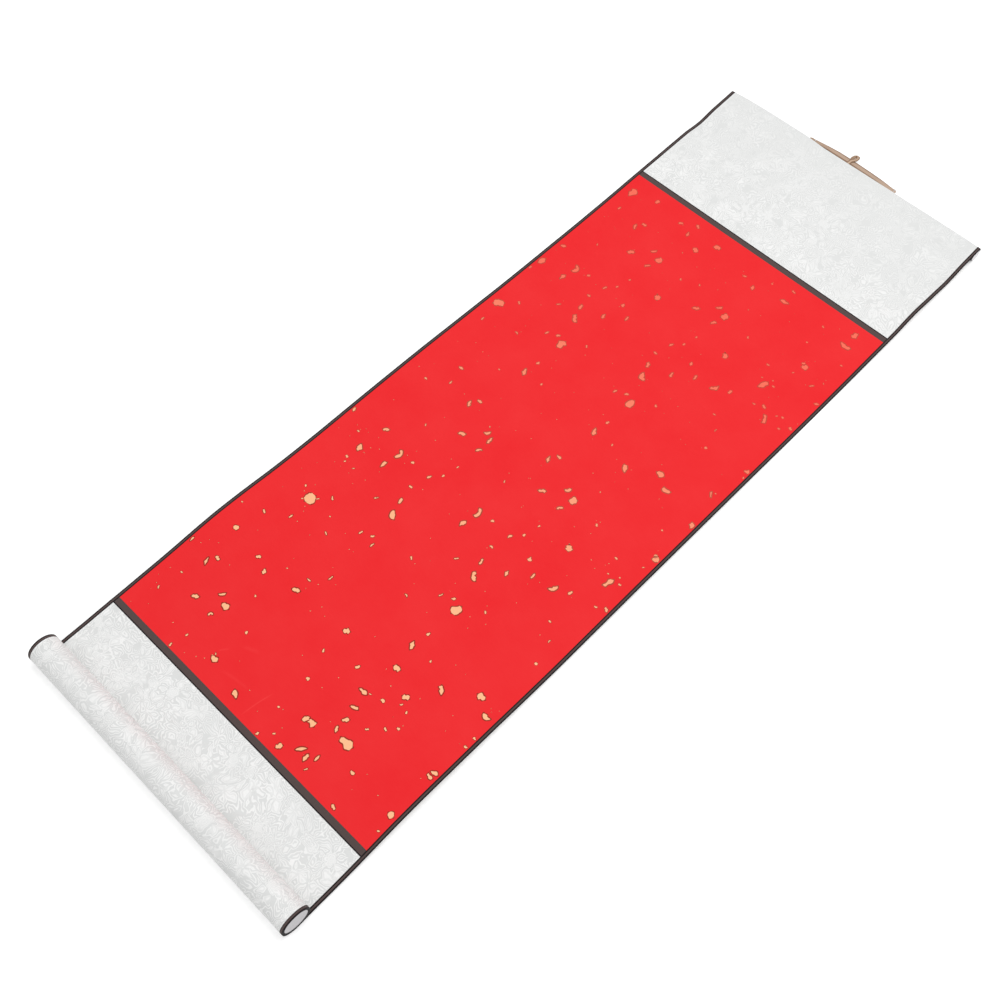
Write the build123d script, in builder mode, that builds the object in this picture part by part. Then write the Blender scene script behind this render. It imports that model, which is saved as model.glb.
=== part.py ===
"""Blank hanging scroll, unrolled and lying face up on its roller and its top batten.

+X runs across the scroll, +Y from the roller to the batten, +Z up, in millimetres. The origin is on the
table, under the middle of the scroll. The side view of the sheet is a chain of stretches: each has a length
and the angle that it turns through, so every layer follows the next one exactly. A place on the sheet is
given by its distance along that chain, and a level by its height over the joint between the face and the
backing paper.
"""

from build123d import *
from math import asin, atan2, cos, degrees, hypot, pi, radians, sin, sqrt
import os
import random

# Panels of the face, in the order in which they follow each other from the roller to the batten
overall_width = 340.0
bottom_silk_run = 71.6
bottom_strip_width = 7.2
paper_length = 724.0
top_strip_width = 7.2
top_silk_run = 160.0

# Thicknesses and edges of the sheet
face_thickness = 0.25
backing_thickness = 0.30
binding_thickness = 0.25
binding_width = 4.0
binding_turn_in = 3.4

# Roller at the foot of the scroll
dowel_diameter = 28.0
roller_cap_thickness = 1.6
cover_tail = 10.0
crease_angle = 56.0

# Batten at the head of the scroll, a half-round rod with its flat side up
batten_width = 15.0
batten_height = 10.0
batten_edge_radius = 1.2
batten_cap_thickness = 0.8
batten_tilt = 4.5
flap_length = 10.0
flap_bend_radius = 1.5
flap_margin = 2.0
flap_glue_line = 0.05

# How the sheet lies: it leaves the roller, swells twice, rests on the table and climbs to the batten
lift_angle = 9.0
settle_run = 22.5
first_swell_rise = 6.5
first_swell_run = 146.0
hollow_drop = 5.75
hollow_run = 151.0
second_swell_rise = 0.85
second_swell_run = 96.0
table_run = 50.0
climb_angle = 1.95
climb_start_run = 80.0
climb_end_run = 40.0

# Gold flecks sprinkled on the red paper
fleck_thickness = 0.04
small_fleck_size = 2.2
small_fleck_count = 32
fleck_edge_margin = 5.0
fleck_spacing = 1.0
fleck_seed = 27

# Hanging ribbon, the staples that hold it and the tie loop that rides on it
ribbon_width = 7.0
ribbon_thickness = 0.8
ribbon_bow = 2.5
ribbon_end_length = 4.5
ribbon_end_thickness = 2.0
ribbon_clearance = 0.3
staple_spacing = 108.0
staple_wire_width = 0.9
staple_wire_thickness = 0.5
staple_corner_radius = 0.4
staple_depth = 4.0
staple_slit_clearance = 0.05
staple_slit_spare_depth = 1.0
tie_loop_width = 6.0
tie_loop_reach = 8.0
tie_loop_place = -6.0

# Sizes that follow from those above
half_width = overall_width / 2
dowel_radius = dowel_diameter / 2
sheet_radius = dowel_radius + face_thickness
roller_radius = sheet_radius + backing_thickness + binding_thickness
table_level = binding_thickness + backing_thickness
top_of_face = face_thickness
under_backing = -backing_thickness
under_binding = -backing_thickness - binding_thickness
face_half_width = half_width - binding_width

# Half-round section of the batten: a flat, two small edge arcs and a belly arc that is tangent to both
flat_half = batten_width / 2 - batten_edge_radius
edge_depth = batten_height - batten_edge_radius
belly_span = flat_half**2 + edge_depth**2 - batten_edge_radius**2
belly_radius = belly_span / (2 * (edge_depth - batten_edge_radius))
flat_rise = batten_height - belly_radius
belly_reach = degrees(atan2(flat_rise - batten_edge_radius, flat_half))
wrapped_belly_radius = belly_radius + backing_thickness + face_thickness
bend_centre_rise = flat_rise - backing_thickness - flap_glue_line - flap_bend_radius
belly_to_bend = belly_radius + backing_thickness + flap_bend_radius
bend_reach = degrees(asin(bend_centre_rise / belly_to_bend))
bend_centre_out = sqrt(belly_to_bend**2 - bend_centre_rise**2)
lead_in_run = bend_centre_out - flat_half + flap_length + flap_margin


def arc_length(radius, angle):
    return radius * radians(angle)


def swell(rise, run):
    """Two equal arcs that lift the sheet by a rise over a run and leave it level again."""
    angle = degrees(2 * rise / run)
    return [(run / 2, angle), (run / 2, -angle)]


# Roller end of the chain, from the sheet's turned-in end at the crease to the place where it is level again
wrap_angle = crease_angle + 270 + lift_angle
wrap_run = arc_length(sheet_radius, wrap_angle)
lowest_place = arc_length(sheet_radius, crease_angle + 270)
settle_radius = settle_run / radians(lift_angle)
level_after_roller = table_level + (sheet_radius + settle_radius) * (1 - cos(radians(lift_angle)))
second_swell_level = level_after_roller + first_swell_rise - hollow_drop + second_swell_rise

# Batten end: the straight climb is as long as the batten's height asks for
climb_start_radius = climb_start_run / radians(climb_angle)
climb_end_radius = climb_end_run / radians(batten_tilt - climb_angle)
batten_near_level = (
    wrapped_belly_radius
    + (flat_rise + backing_thickness) * cos(radians(batten_tilt))
    - flat_half * sin(radians(batten_tilt))
)
climb_rise = (
    batten_near_level
    - table_level
    - climb_start_radius * (1 - cos(radians(climb_angle)))
    - climb_end_radius * (cos(radians(climb_angle)) - cos(radians(batten_tilt)))
    - lead_in_run * sin(radians(batten_tilt))
)
climb_run = climb_rise / sin(radians(climb_angle))

# Places along the chain, counted from its start
bottom_strip_place = lowest_place + bottom_silk_run
paper_place = bottom_strip_place + bottom_strip_width
top_strip_place = paper_place + paper_length
top_silk_place = top_strip_place + top_strip_width
flat_end_place = top_silk_place + top_silk_run
flat_place = flat_end_place - 2 * flat_half
lead_in_place = flat_place - lead_in_run
table_end_place = lead_in_place - climb_end_run - climb_run - climb_start_run
second_swell_end = wrap_run + settle_run + first_swell_run + hollow_run + second_swell_run
descent_run = table_end_place - table_run - second_swell_end

lie_to_flat = [
    (wrap_run, wrap_angle),
    (settle_run, -lift_angle),
    *swell(first_swell_rise, first_swell_run),
    *swell(-hollow_drop, hollow_run),
    *swell(second_swell_rise, second_swell_run),
    *swell(table_level - second_swell_level, descent_run),
    (table_run, 0),
    (climb_start_run, climb_angle),
    (climb_run, 0),
    (climb_end_run, batten_tilt - climb_angle),
    (lead_in_run, 0),
]
edge_turn = 90 - belly_reach
belly_turn = 180 + belly_reach + bend_reach
bend_turn = 90 + bend_reach
lie_round_batten = [
    (2 * flat_half, 0),
    (arc_length(batten_edge_radius + backing_thickness, edge_turn), -edge_turn),
    (arc_length(belly_radius + backing_thickness, belly_turn), -belly_turn),
    (arc_length(flap_bend_radius, bend_turn), bend_turn),
    (flap_length, 0),
]
lie_of_sheet = lie_to_flat + lie_round_batten
sheet_end = sum(length for length, turn in lie_of_sheet)
place_tolerance = 1e-6


def move_on(y, z, heading, length, turn):
    """End of a stretch that starts at y, z with a heading in degrees."""
    if turn == 0:
        return y + length * cos(radians(heading)), z + length * sin(radians(heading)), heading
    radius = length / radians(turn)
    ahead = heading + turn
    y += radius * (sin(radians(ahead)) - sin(radians(heading)))
    z += radius * (cos(radians(heading)) - cos(radians(ahead)))
    return y, z, ahead


def walk(y, z, heading):
    """Place, position, heading, length and turn of every stretch of the sheet."""
    steps = []
    place = 0.0
    for length, turn in lie_of_sheet:
        steps.append((place, y, z, heading, length, turn))
        y, z, heading = move_on(y, z, heading, length, turn)
        place += length
    return steps


def start_of_chain(axis_y):
    """The sheet starts on the roller, below its widest point on the batten's side."""
    start_y = axis_y + sheet_radius * cos(radians(crease_angle))
    start_z = roller_radius - sheet_radius * sin(radians(crease_angle))
    return start_y, start_z, 90 - crease_angle


def on_batten(start_y, start_z, across, rise):
    """A point of the batten's own section, which stands on its tilted flat."""
    tilt = radians(batten_tilt)
    return start_y + across * cos(tilt) - rise * sin(tilt), start_z + across * sin(tilt) + rise * cos(tilt)


def belly_centre(steps):
    """Centre of the belly arc, found from the place where the flat begins."""
    place, y, z, heading, length, turn = steps[len(lie_to_flat)]
    return on_batten(y, z, flat_half, -flat_rise - backing_thickness)


# The scroll is centred on the origin, from the roller's outside to the backs of the staples
staple_leg_rise = ribbon_thickness / 2 + ribbon_clearance + staple_wire_thickness / 2
ribbon_offset = wrapped_belly_radius + ribbon_clearance + ribbon_width / 2
ribbon_half_length = staple_spacing / 2 + staple_wire_width / 2 + ribbon_clearance + ribbon_end_length
ribbon_radius = (ribbon_half_length**2 + ribbon_bow**2) / (2 * ribbon_bow)


def ribbon_out(across):
    """How far the ribbon's bow carries it out from the line between its two ends."""
    return ribbon_bow - ribbon_radius + sqrt(ribbon_radius**2 - across**2)


ribbon_outer_edge = ribbon_offset + ribbon_out(staple_spacing / 2) + ribbon_width / 2
staple_reach = ribbon_outer_edge + ribbon_clearance + staple_wire_thickness
belly_from_roller = belly_centre(walk(*start_of_chain(0)))[0]
roller_y = (roller_radius - belly_from_roller - staple_reach) / 2
chain = walk(*start_of_chain(roller_y))
belly_y, belly_z = belly_centre(chain)
ribbon_height = belly_z


def point_at(place, level):
    """Position of a place on the sheet at a level above or below the face joint."""
    begun = [step for step in chain if step[0] <= place + place_tolerance]
    start, y, z, heading, length, turn = begun[-1]
    done = place - start
    y, z, heading = move_on(y, z, heading, done, turn * done / length)
    return y - level * sin(radians(heading)), z + level * cos(radians(heading))


def follow(start, end, level):
    """Edges that follow the sheet from one place to another at a level."""
    for first, y, z, heading, length, turn in chain:
        a = max(start, first)
        b = min(end, first + length)
        if b - a < place_tolerance:
            continue
        if turn == 0:
            Line(point_at(a, level), point_at(b, level))
        else:
            ThreePointArc(point_at(a, level), point_at((a + b) / 2, level), point_at(b, level))


def add_layer(start, end, low, high, left, right, mode=Mode.ADD):
    """One layer of the sheet between two places, two levels and two distances across."""
    with BuildSketch(Plane.YZ.offset(left)) as section:
        with BuildLine():
            follow(start, end, low)
            Line(point_at(end, low), point_at(end, high))
            follow(start, end, high)
            Line(point_at(start, high), point_at(start, low))
        make_face()
    extrude(section.sketch, amount=right - left, mode=mode)


def add_batten_length(left, right):
    """A length of the batten's half-round section."""

    def spot(across, rise):
        return on_batten(belly_y, belly_z, across, rise)

    def arc(across, rise, radius, *angles):
        turns = [radians(angle) for angle in angles]
        ThreePointArc(*[spot(across + radius * cos(turn), rise + radius * sin(turn)) for turn in turns])

    edge_rise = flat_rise - batten_edge_radius
    half_way = (90 + belly_reach) / 2
    with BuildSketch(Plane.YZ.offset(left)) as section:
        with BuildLine():
            Line(spot(-flat_half, flat_rise), spot(flat_half, flat_rise))
            arc(flat_half, edge_rise, batten_edge_radius, 90, half_way, belly_reach)
            arc(0, 0, belly_radius, belly_reach, -90, -180 - belly_reach)
            arc(-flat_half, edge_rise, batten_edge_radius, 180 - belly_reach, 180 - half_way, 90)
        make_face()
    extrude(section.sketch, amount=right - left)


def cut_staple_slits():
    """Slits into the batten's far side for the two legs of each staple."""
    start = belly_y + wrapped_belly_radius - staple_depth - staple_slit_spare_depth
    slit_width = staple_wire_width + 2 * staple_slit_clearance
    slit_height = staple_wire_thickness + 2 * staple_slit_clearance
    with BuildSketch(Plane.XZ.offset(-start)) as slits:
        with Locations((0, ribbon_height)):
            with GridLocations(staple_spacing, 2 * staple_leg_rise, 2, 2):
                Rectangle(slit_width, slit_height)
    extrude(slits.sketch, amount=-(staple_depth + belly_radius), mode=Mode.SUBTRACT)


# Backing paper, one sheet from the roller to the flap behind the batten
backing_half_width = half_width - binding_thickness
with BuildPart() as backing_paper:
    add_layer(0, sheet_end, under_backing, 0, -backing_half_width, backing_half_width)
    cut_staple_slits()
backing_paper.part.label = "backing_paper"

# Face panels, laid edge to edge on the backing
with BuildPart() as bottom_silk:
    add_layer(0, bottom_strip_place, 0, top_of_face, -face_half_width, face_half_width)
bottom_silk.part.label = "bottom_silk"

with BuildPart() as bottom_strip:
    add_layer(bottom_strip_place, paper_place, 0, top_of_face, -face_half_width, face_half_width)
bottom_strip.part.label = "bottom_strip"

with BuildPart() as red_paper:
    add_layer(paper_place, top_strip_place, 0, top_of_face, -face_half_width, face_half_width)
red_paper.part.label = "red_paper"

with BuildPart() as top_strip:
    add_layer(top_strip_place, top_silk_place, 0, top_of_face, -face_half_width, face_half_width)
top_strip.part.label = "top_strip"

with BuildPart() as top_silk:
    add_layer(top_silk_place, sheet_end, 0, top_of_face, -face_half_width, face_half_width)
    cut_staple_slits()
top_silk.part.label = "top_silk"


# Edge bindings, each one long strip folded over the edge of the sheet from end to end
def make_binding(side):
    """The strip on the right, for side 1, or on the left, for side -1."""

    def across(width):
        inner = side * (half_width - width)
        outer = side * half_width
        return min(inner, outer), max(inner, outer)

    with BuildPart() as binding:
        add_layer(0, sheet_end, 0, top_of_face, *across(binding_width))
        add_layer(0, sheet_end, under_backing, 0, *across(binding_thickness))
        add_layer(0, lead_in_place, under_binding, under_backing, *across(binding_turn_in))
    return binding


left_binding = make_binding(-1)
left_binding.part.label = "left_binding"
right_binding = make_binding(1)
right_binding.part.label = "right_binding"

# Silk cover round the outside of the roller, between the turned-in bindings
cover_half_width = half_width - binding_turn_in
cover_end_place = lowest_place + cover_tail
with BuildPart() as roller_cover:
    add_layer(0, cover_end_place, under_binding, under_backing, -cover_half_width, cover_half_width)
roller_cover.part.label = "roller_cover"

# Roller dowel and the caps that close its ends
roller_plane = Plane.YZ.shift_origin((0, roller_y, roller_radius))
dowel_half_length = half_width - roller_cap_thickness
with BuildPart() as roller_dowel:
    with BuildSketch(roller_plane.offset(-dowel_half_length)):
        Circle(dowel_radius)
    extrude(amount=2 * dowel_half_length)
roller_dowel.part.label = "roller_dowel"

with BuildPart() as roller_cap_left:
    with BuildSketch(roller_plane.offset(-half_width)):
        Circle(dowel_radius)
    extrude(amount=roller_cap_thickness)
roller_cap_left.part.label = "roller_cap_left"

with BuildPart() as roller_cap_right:
    with BuildSketch(roller_plane.offset(dowel_half_length)):
        Circle(dowel_radius)
    extrude(amount=roller_cap_thickness)
roller_cap_right.part.label = "roller_cap_right"

# Half-round batten and the patches on its ends
batten_half_length = half_width - batten_cap_thickness
with BuildPart() as top_batten:
    add_batten_length(-batten_half_length, batten_half_length)
    cut_staple_slits()
top_batten.part.label = "top_batten"

with BuildPart() as batten_cap_left:
    add_batten_length(-half_width, -batten_half_length)
batten_cap_left.part.label = "batten_cap_left"

with BuildPart() as batten_cap_right:
    add_batten_length(batten_half_length, half_width)
batten_cap_right.part.label = "batten_cap_right"

# Largest gold flecks: distance across from the middle, distance up the paper from its lower end, and size
large_flecks = [
    (87, 50, 6.5), (-118, 191, 6.0), (49, 41, 5.6), (-155, 487, 5.4), (65, 206, 5.2), (145, 323, 5.2),
    (-88, 61, 4.8), (160, 82, 4.8), (28, 485, 4.6), (7, 292, 4.6), (52, 241, 4.6), (162, 372, 4.6),
    (-49, 234, 4.5), (-94, 284, 4.5), (141, 161, 4.4), (64, 364, 4.4), (-71, 493, 4.4), (-56, 21, 4.2),
    (62, 20, 4.2), (156, 151, 4.2), (-155, 699, 4.2), (111, 141, 4.2), (-17, 13, 4.0), (108, 603, 4.0),
]


# Least and most of what makes a torn flake uneven, as shares of its size or of the step between corners
least_corner_count = 4
most_corner_count = 6
fleck_slimness = (0.55, 0.85)
fleck_raggedness = (0.62, 1.0)
fleck_corner_drift = (-0.25, 0.25)


def torn_outline(rng, x, y, size):
    """Irregular corners of a torn flake round a point, longer one way than the other."""
    corners = rng.randint(least_corner_count, most_corner_count)
    lean = rng.uniform(0, pi)
    slimness = rng.uniform(*fleck_slimness)
    outline = []
    for corner in range(corners):
        angle = 2 * pi * (corner + rng.uniform(*fleck_corner_drift)) / corners
        reach = size * rng.uniform(*fleck_raggedness)
        along = reach * cos(angle)
        aside = reach * slimness * sin(angle)
        across = along * cos(lean) - aside * sin(lean)
        up = along * sin(lean) + aside * cos(lean)
        outline.append((x + across, y + up))
    return outline


def fleck_outlines():
    """The listed flecks, then small ones wherever there is room between them."""
    rng = random.Random(fleck_seed)
    half_field = face_half_width - fleck_edge_margin
    field_end = paper_length - fleck_edge_margin
    spots = [fleck for fleck in large_flecks if abs(fleck[0]) < face_half_width and fleck[1] < field_end]
    wanted = len(spots) + small_fleck_count
    while len(spots) < wanted:
        x = rng.uniform(-half_field, half_field)
        y = rng.uniform(fleck_edge_margin, field_end)
        size = rng.uniform(small_fleck_size / 2, small_fleck_size)
        if all(hypot(x - a, y - b) > size + reach + fleck_spacing for a, b, reach in spots):
            spots.append((x, y, size))
    start_y = point_at(paper_place, top_of_face)[0]
    return [torn_outline(rng, x, start_y + y, size) for x, y, size in spots]


with BuildPart() as gold_flecks:
    with BuildSketch() as outlines:
        for outline in fleck_outlines():
            Polygon(*outline, align=None)
    extrude(amount=roller_radius)
    leaf_top = top_of_face + fleck_thickness
    leaf_edges = (-face_half_width, face_half_width)
    add_layer(paper_place, top_strip_place, top_of_face, leaf_top, *leaf_edges, mode=Mode.INTERSECT)
gold_flecks.part.label = "gold_flecks"

# Staples of flat wire in the batten's far side, each a U whose legs pass above and below the ribbon
staple_height = 2 * staple_leg_rise + staple_wire_thickness
staple_start = belly_y + wrapped_belly_radius - staple_depth
staple_end = belly_y + staple_reach
with BuildPart() as ribbon_staples:
    for side in (-1, 1):
        with BuildSketch(Plane.YZ.offset(side * staple_spacing / 2)) as staple:
            with Locations(((staple_start + staple_end) / 2, ribbon_height)):
                Rectangle(staple_end - staple_start, staple_height)
            corners = staple.vertices().group_by(Axis.Y)[-1]
            fillet(corners, radius=staple_corner_radius)
            with Locations(((staple_start + staple_end) / 2 - staple_wire_thickness, ribbon_height)):
                Rectangle(staple_end - staple_start, staple_height - 2 * staple_wire_thickness, mode=Mode.SUBTRACT)
        extrude(staple.sketch, amount=staple_wire_width / 2, both=True)
ribbon_staples.part.label = "ribbon_staples"


def add_ribbon_stretch(start, end, thickness):
    """A flat stretch of the ribbon between two distances across, along its bow."""
    line_y = belly_y + ribbon_offset
    with BuildSketch(Plane.XY.offset(ribbon_height - thickness / 2)) as stretch:
        with BuildLine():
            ThreePointArc(*[(x, line_y + ribbon_out(x)) for x in (start, (start + end) / 2, end)])
        trace(line_width=ribbon_width)
    extrude(stretch.sketch, amount=thickness)


# Hanging ribbon, threaded through both staples, with its ends folded over so that they can't slip out
with BuildPart() as hanging_ribbon:
    add_ribbon_stretch(-ribbon_half_length, ribbon_half_length, ribbon_thickness)
    fold_start = ribbon_half_length - ribbon_end_length
    add_ribbon_stretch(-ribbon_half_length, -fold_start, ribbon_end_thickness)
    add_ribbon_stretch(fold_start, ribbon_half_length, ribbon_end_thickness)
hanging_ribbon.part.label = "hanging_ribbon"

# Tie loop, a band of the same tape round the ribbon that stands out past its free edge
loop_gap = ribbon_thickness + 2 * ribbon_clearance
loop_inside = ribbon_width + 2 * ribbon_clearance + tie_loop_reach
loop_middle = belly_y + ribbon_offset + ribbon_out(tie_loop_place) + tie_loop_reach / 2
with BuildPart() as tie_loop:
    with BuildSketch(Plane.YZ.offset(tie_loop_place - tie_loop_width / 2)):
        with Locations((loop_middle, ribbon_height)):
            SlotOverall(loop_inside + 2 * ribbon_thickness, loop_gap + 2 * ribbon_thickness)
            SlotOverall(loop_inside, loop_gap, mode=Mode.SUBTRACT)
    extrude(amount=tie_loop_width)
tie_loop.part.label = "tie_loop"

os.makedirs("parts", exist_ok=True)
sheet_pieces = (backing_paper, bottom_silk, bottom_strip, red_paper, top_strip, top_silk, gold_flecks)
edge_pieces = (left_binding, right_binding)
roller_pieces = (roller_cover, roller_dowel, roller_cap_left, roller_cap_right)
batten_pieces = (top_batten, batten_cap_left, batten_cap_right, ribbon_staples, hanging_ribbon, tie_loop)
for piece in sheet_pieces + edge_pieces + roller_pieces + batten_pieces:
    export_step(piece.part, f"parts/{piece.part.label}.step")
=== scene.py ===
"""Looks of a blank hanging scroll, laid out as an add-on and run as a script.

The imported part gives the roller, the batten and their end discs and patches. The sheet, its edge bindings,
the gold flecks, the silk on the roller, the ribbon, its tie loop and the staples are worked out here as
surfaces, in metres and in the part's own frame: +X across the scroll, +Y from the roller to the batten, +Z up
from the table.
"""

import math

import bpy
import numpy as np
from bpy.props import FloatProperty, FloatVectorProperty, IntProperty, PointerProperty
from bpy.types import Operator, Panel, PropertyGroup
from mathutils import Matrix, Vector


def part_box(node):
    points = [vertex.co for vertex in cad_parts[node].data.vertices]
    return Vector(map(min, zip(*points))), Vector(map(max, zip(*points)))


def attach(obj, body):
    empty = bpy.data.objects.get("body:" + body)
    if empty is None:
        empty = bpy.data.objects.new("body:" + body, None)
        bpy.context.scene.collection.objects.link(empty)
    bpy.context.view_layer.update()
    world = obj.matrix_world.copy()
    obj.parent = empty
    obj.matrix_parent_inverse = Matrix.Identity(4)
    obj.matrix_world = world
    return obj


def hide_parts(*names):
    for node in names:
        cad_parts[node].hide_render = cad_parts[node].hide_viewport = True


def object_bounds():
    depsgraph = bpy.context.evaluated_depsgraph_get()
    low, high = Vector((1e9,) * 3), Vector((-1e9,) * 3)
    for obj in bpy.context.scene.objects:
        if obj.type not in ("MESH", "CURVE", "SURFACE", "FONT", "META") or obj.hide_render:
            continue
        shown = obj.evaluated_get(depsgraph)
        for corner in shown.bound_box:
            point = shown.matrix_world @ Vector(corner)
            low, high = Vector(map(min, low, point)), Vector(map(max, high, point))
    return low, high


bl_info = {
    "name": "Hanging scroll",
    "version": (1, 0, 0),
    "blender": (4, 5, 0),
    "location": "3D View > Sidebar > Scroll",
    "description": "Dresses the packed part of a blank hanging scroll",
    "category": "Add Mesh",
}

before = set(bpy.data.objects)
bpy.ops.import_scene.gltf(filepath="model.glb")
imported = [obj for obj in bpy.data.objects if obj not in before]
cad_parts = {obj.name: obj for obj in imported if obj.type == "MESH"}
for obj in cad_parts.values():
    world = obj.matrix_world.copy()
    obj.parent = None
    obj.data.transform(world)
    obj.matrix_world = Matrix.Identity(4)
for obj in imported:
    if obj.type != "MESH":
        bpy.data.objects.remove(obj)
cad_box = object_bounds()

MILLIMETRE = 0.001
BODY = "root"
QUARTER_TURN = math.pi / 2

# The sheet's ripples: wavelengths along it and across it in metres, and the seed of their phases
LONG_WAVES = ((0.16, 0.5), (0.11, -0.31), (0.085, 0.24), (0.062, -0.19))
RIPPLE_SEED = 5
# Width of the camera's sensor in millimetres
SENSOR = 36
# Steps of a surface's grid: the largest turn of one step round a bend, and the shortest step in metres
BEND_STEP = math.radians(5)
SHORTEST_STEP = 1e-7
# Share of the batten's belly over which the silk's slack dies out
SLACK_BELLY = 0.42


def centre_of(node):
    """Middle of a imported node's box."""
    low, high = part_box(node)
    return (low + high) / 2


def mm(metres):
    """A length in millimetres, the unit of the finishes' patterns."""
    return metres * 1000


# Sizes and colours that a user would change


def length(name, description, millimetres):
    """A length property, written in millimetres and kept in metres."""
    return FloatProperty(
        name=name, description=description, default=millimetres * MILLIMETRE, unit="LENGTH", precision=5
    )


def angle(name, description, degrees):
    """An angle property, written in degrees and kept in radians."""
    return FloatProperty(name=name, description=description, default=math.radians(degrees), subtype="ANGLE")


def number(name, description, value):
    """A plain number property."""
    return FloatProperty(name=name, description=description, default=value)


def count(name, description, value):
    """A whole number property."""
    return IntProperty(name=name, description=description, default=value)


def linear(level):
    """A channel of 0 to 255 as it is written in a picture, turned into the light that it stands for."""
    share = level / 255
    return share / 12.92 if share <= 0.04045 else ((share + 0.055) / 1.055) ** 2.4


def colour(name, description, *levels):
    """A colour property, written as red, green and blue of 0 to 255 and kept as light."""
    default = [linear(level) for level in levels]
    return FloatVectorProperty(
        name=name, description=description, subtype="COLOR", min=0, max=1, default=default
    )


class ScrollSheet(PropertyGroup):
    """Panels, layers and lie of the mounted sheet, as the part's source has them."""

    overall_width: length("Overall width", "Width of the scroll over its bindings", 340)
    bottom_silk_run: length("Bottom silk", "Silk from the roller's lowest line to the lower strip", 71.6)
    bottom_strip_width: length("Lower strip", "Width of the strip under the red paper", 7.2)
    paper_length: length("Red paper", "Length of the red paper", 724)
    top_strip_width: length("Upper strip", "Width of the strip over the red paper", 7.2)
    top_silk_run: length("Top silk", "Silk from the upper strip to the end of the batten's flat", 160)
    face: length("Face thickness", "Thickness of the silk and the red paper", 0.25)
    backing: length("Backing thickness", "Thickness of the backing paper", 0.3)
    binding: length("Binding thickness", "Thickness of the edge bindings and the roller's cover", 0.25)
    binding_width: length("Binding width", "Width of a binding on the face", 4)
    binding_turn_in: length("Binding turn-in", "Width of a binding on the back", 3.4)
    dowel_radius: length("Dowel radius", "Radius of the roller's dowel", 14)
    cover_tail: length("Cover tail", "Length of the roller's cover past the roller's lowest line", 10)
    crease: angle("Crease", "Where the cover's end lies, under the dowel's widest point", 56)
    batten_width: length("Batten width", "Width of the half-round batten", 15)
    batten_height: length("Batten height", "Height of the half-round batten", 10)
    batten_edge: length("Batten edge", "Radius of the batten's two edges", 1.2)
    batten_tilt: angle("Batten tilt", "Slope of the batten's flat side", 4.5)
    flap_length: length("Flap", "Straight length of the flap glued behind the batten", 10)
    flap_bend: length("Flap bend", "Radius of the bend from the batten into the flap", 1.5)
    flap_margin: length("Flap margin", "Gap that the flap leaves before the batten's lead-in ends", 2)
    flap_glue: length("Flap glue", "Glue between the flap and the backing paper", 0.05)
    lift: angle("Lift", "Angle at which the sheet leaves the roller", 9)
    settle_run: length("Settle", "Length over which the sheet is level again", 22.5)
    first_rise: length("First swell", "Height of the first swell", 6.5)
    first_run: length("First swell length", "Length of the first swell's climb", 146)
    hollow_drop: length("Hollow", "Depth of the hollow after the first swell", 5.75)
    hollow_run: length("Hollow length", "Length of the drop into the hollow", 151)
    second_rise: length("Second swell", "Height of the second swell", 0.85)
    second_run: length("Second swell length", "Length of the second swell's climb", 96)
    table_run: length("On the table", "Length that lies flat on the table", 50)
    climb: angle("Climb", "Slope of the climb to the batten", 1.95)
    climb_start: length("Climb start", "Length of the bend into the climb", 80)
    climb_end: length("Climb end", "Length of the bend out of the climb", 40)
    ripple: length("Ripple", "Height of the slight ripples in the sheet", 0.35)
    edge_wave: length("Edge wave", "Height of the largest wave in the free edges", 3.2)
    batten_slack: length("Batten slack", "How far the silk stands off the batten's outer side at most", 3.2)
    fold_radius: length("Fold radius", "Outside radius of a binding's fold", 0.2)
    grid_step: length("Grid step", "Longest side of a surface's grid", 4)


class ScrollFlecks(PropertyGroup):
    """The print of gold flecks on the red paper."""

    thickness: length("Leaf thickness", "Thickness of the gold leaf", 0.05)
    edge_margin: length("Edge margin", "Room that a fleck leaves to the strips and bindings", 0.5)
    rim_width: length("Rim width", "Width of the dark rim of a fleck", 1.4)
    dust_count: count("Specks", "How many tiny specks lie between the flecks", 260)
    dust_size: length("Speck size", "Largest half length of a speck", 0.55)
    seed: count("Seed", "Seed of the flecks' torn outlines", 11)


class ScrollRibbon(PropertyGroup):
    """The hanging ribbon and the tie loop on it."""

    width: length("Ribbon width", "Width of the ribbon", 7)
    thickness: length("Ribbon thickness", "Thickness of the ribbon", 0.8)
    bow: length("Bow", "How far the ribbon bows out between its staples", 2.5)
    end_length: length("Folded end", "Length of each folded end", 4.5)
    end_thickness: length("Folded end thickness", "Thickness of the folded ends", 1.9)
    skew: length("Ribbon skew", "How much further out the ribbon's left end lies", 2.4)
    tuck: length("Ribbon inner edge", "How much wider the middle is towards the batten", 2.2)
    tip: length("Ribbon tip", "How far the ribbon reaches past its left staple", 2)
    tilt: angle("Ribbon tilt", "How far the ribbon's outer edge hangs down", 10)
    end_tuck: length("Ribbon tuck", "How much of the right folded end is tucked under the batten's silk", 3.4)
    loop_place: length("Loop place", "Distance of the tie loop from the middle", -6)
    loop_band: length("Loop band", "Width of the tie loop's tape", 4.3)
    loop_spread: length("Loop spread", "How far each strand of the tie loop lies to its side", 2.5)
    loop_thickness: length("Loop thickness", "Thickness of the tie loop's tape", 0.9)
    wire_width: length("Wire width", "Width of the staples' flat wire", 0.9)
    wire_thickness: length("Wire thickness", "Thickness of the staples' flat wire", 0.5)


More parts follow.
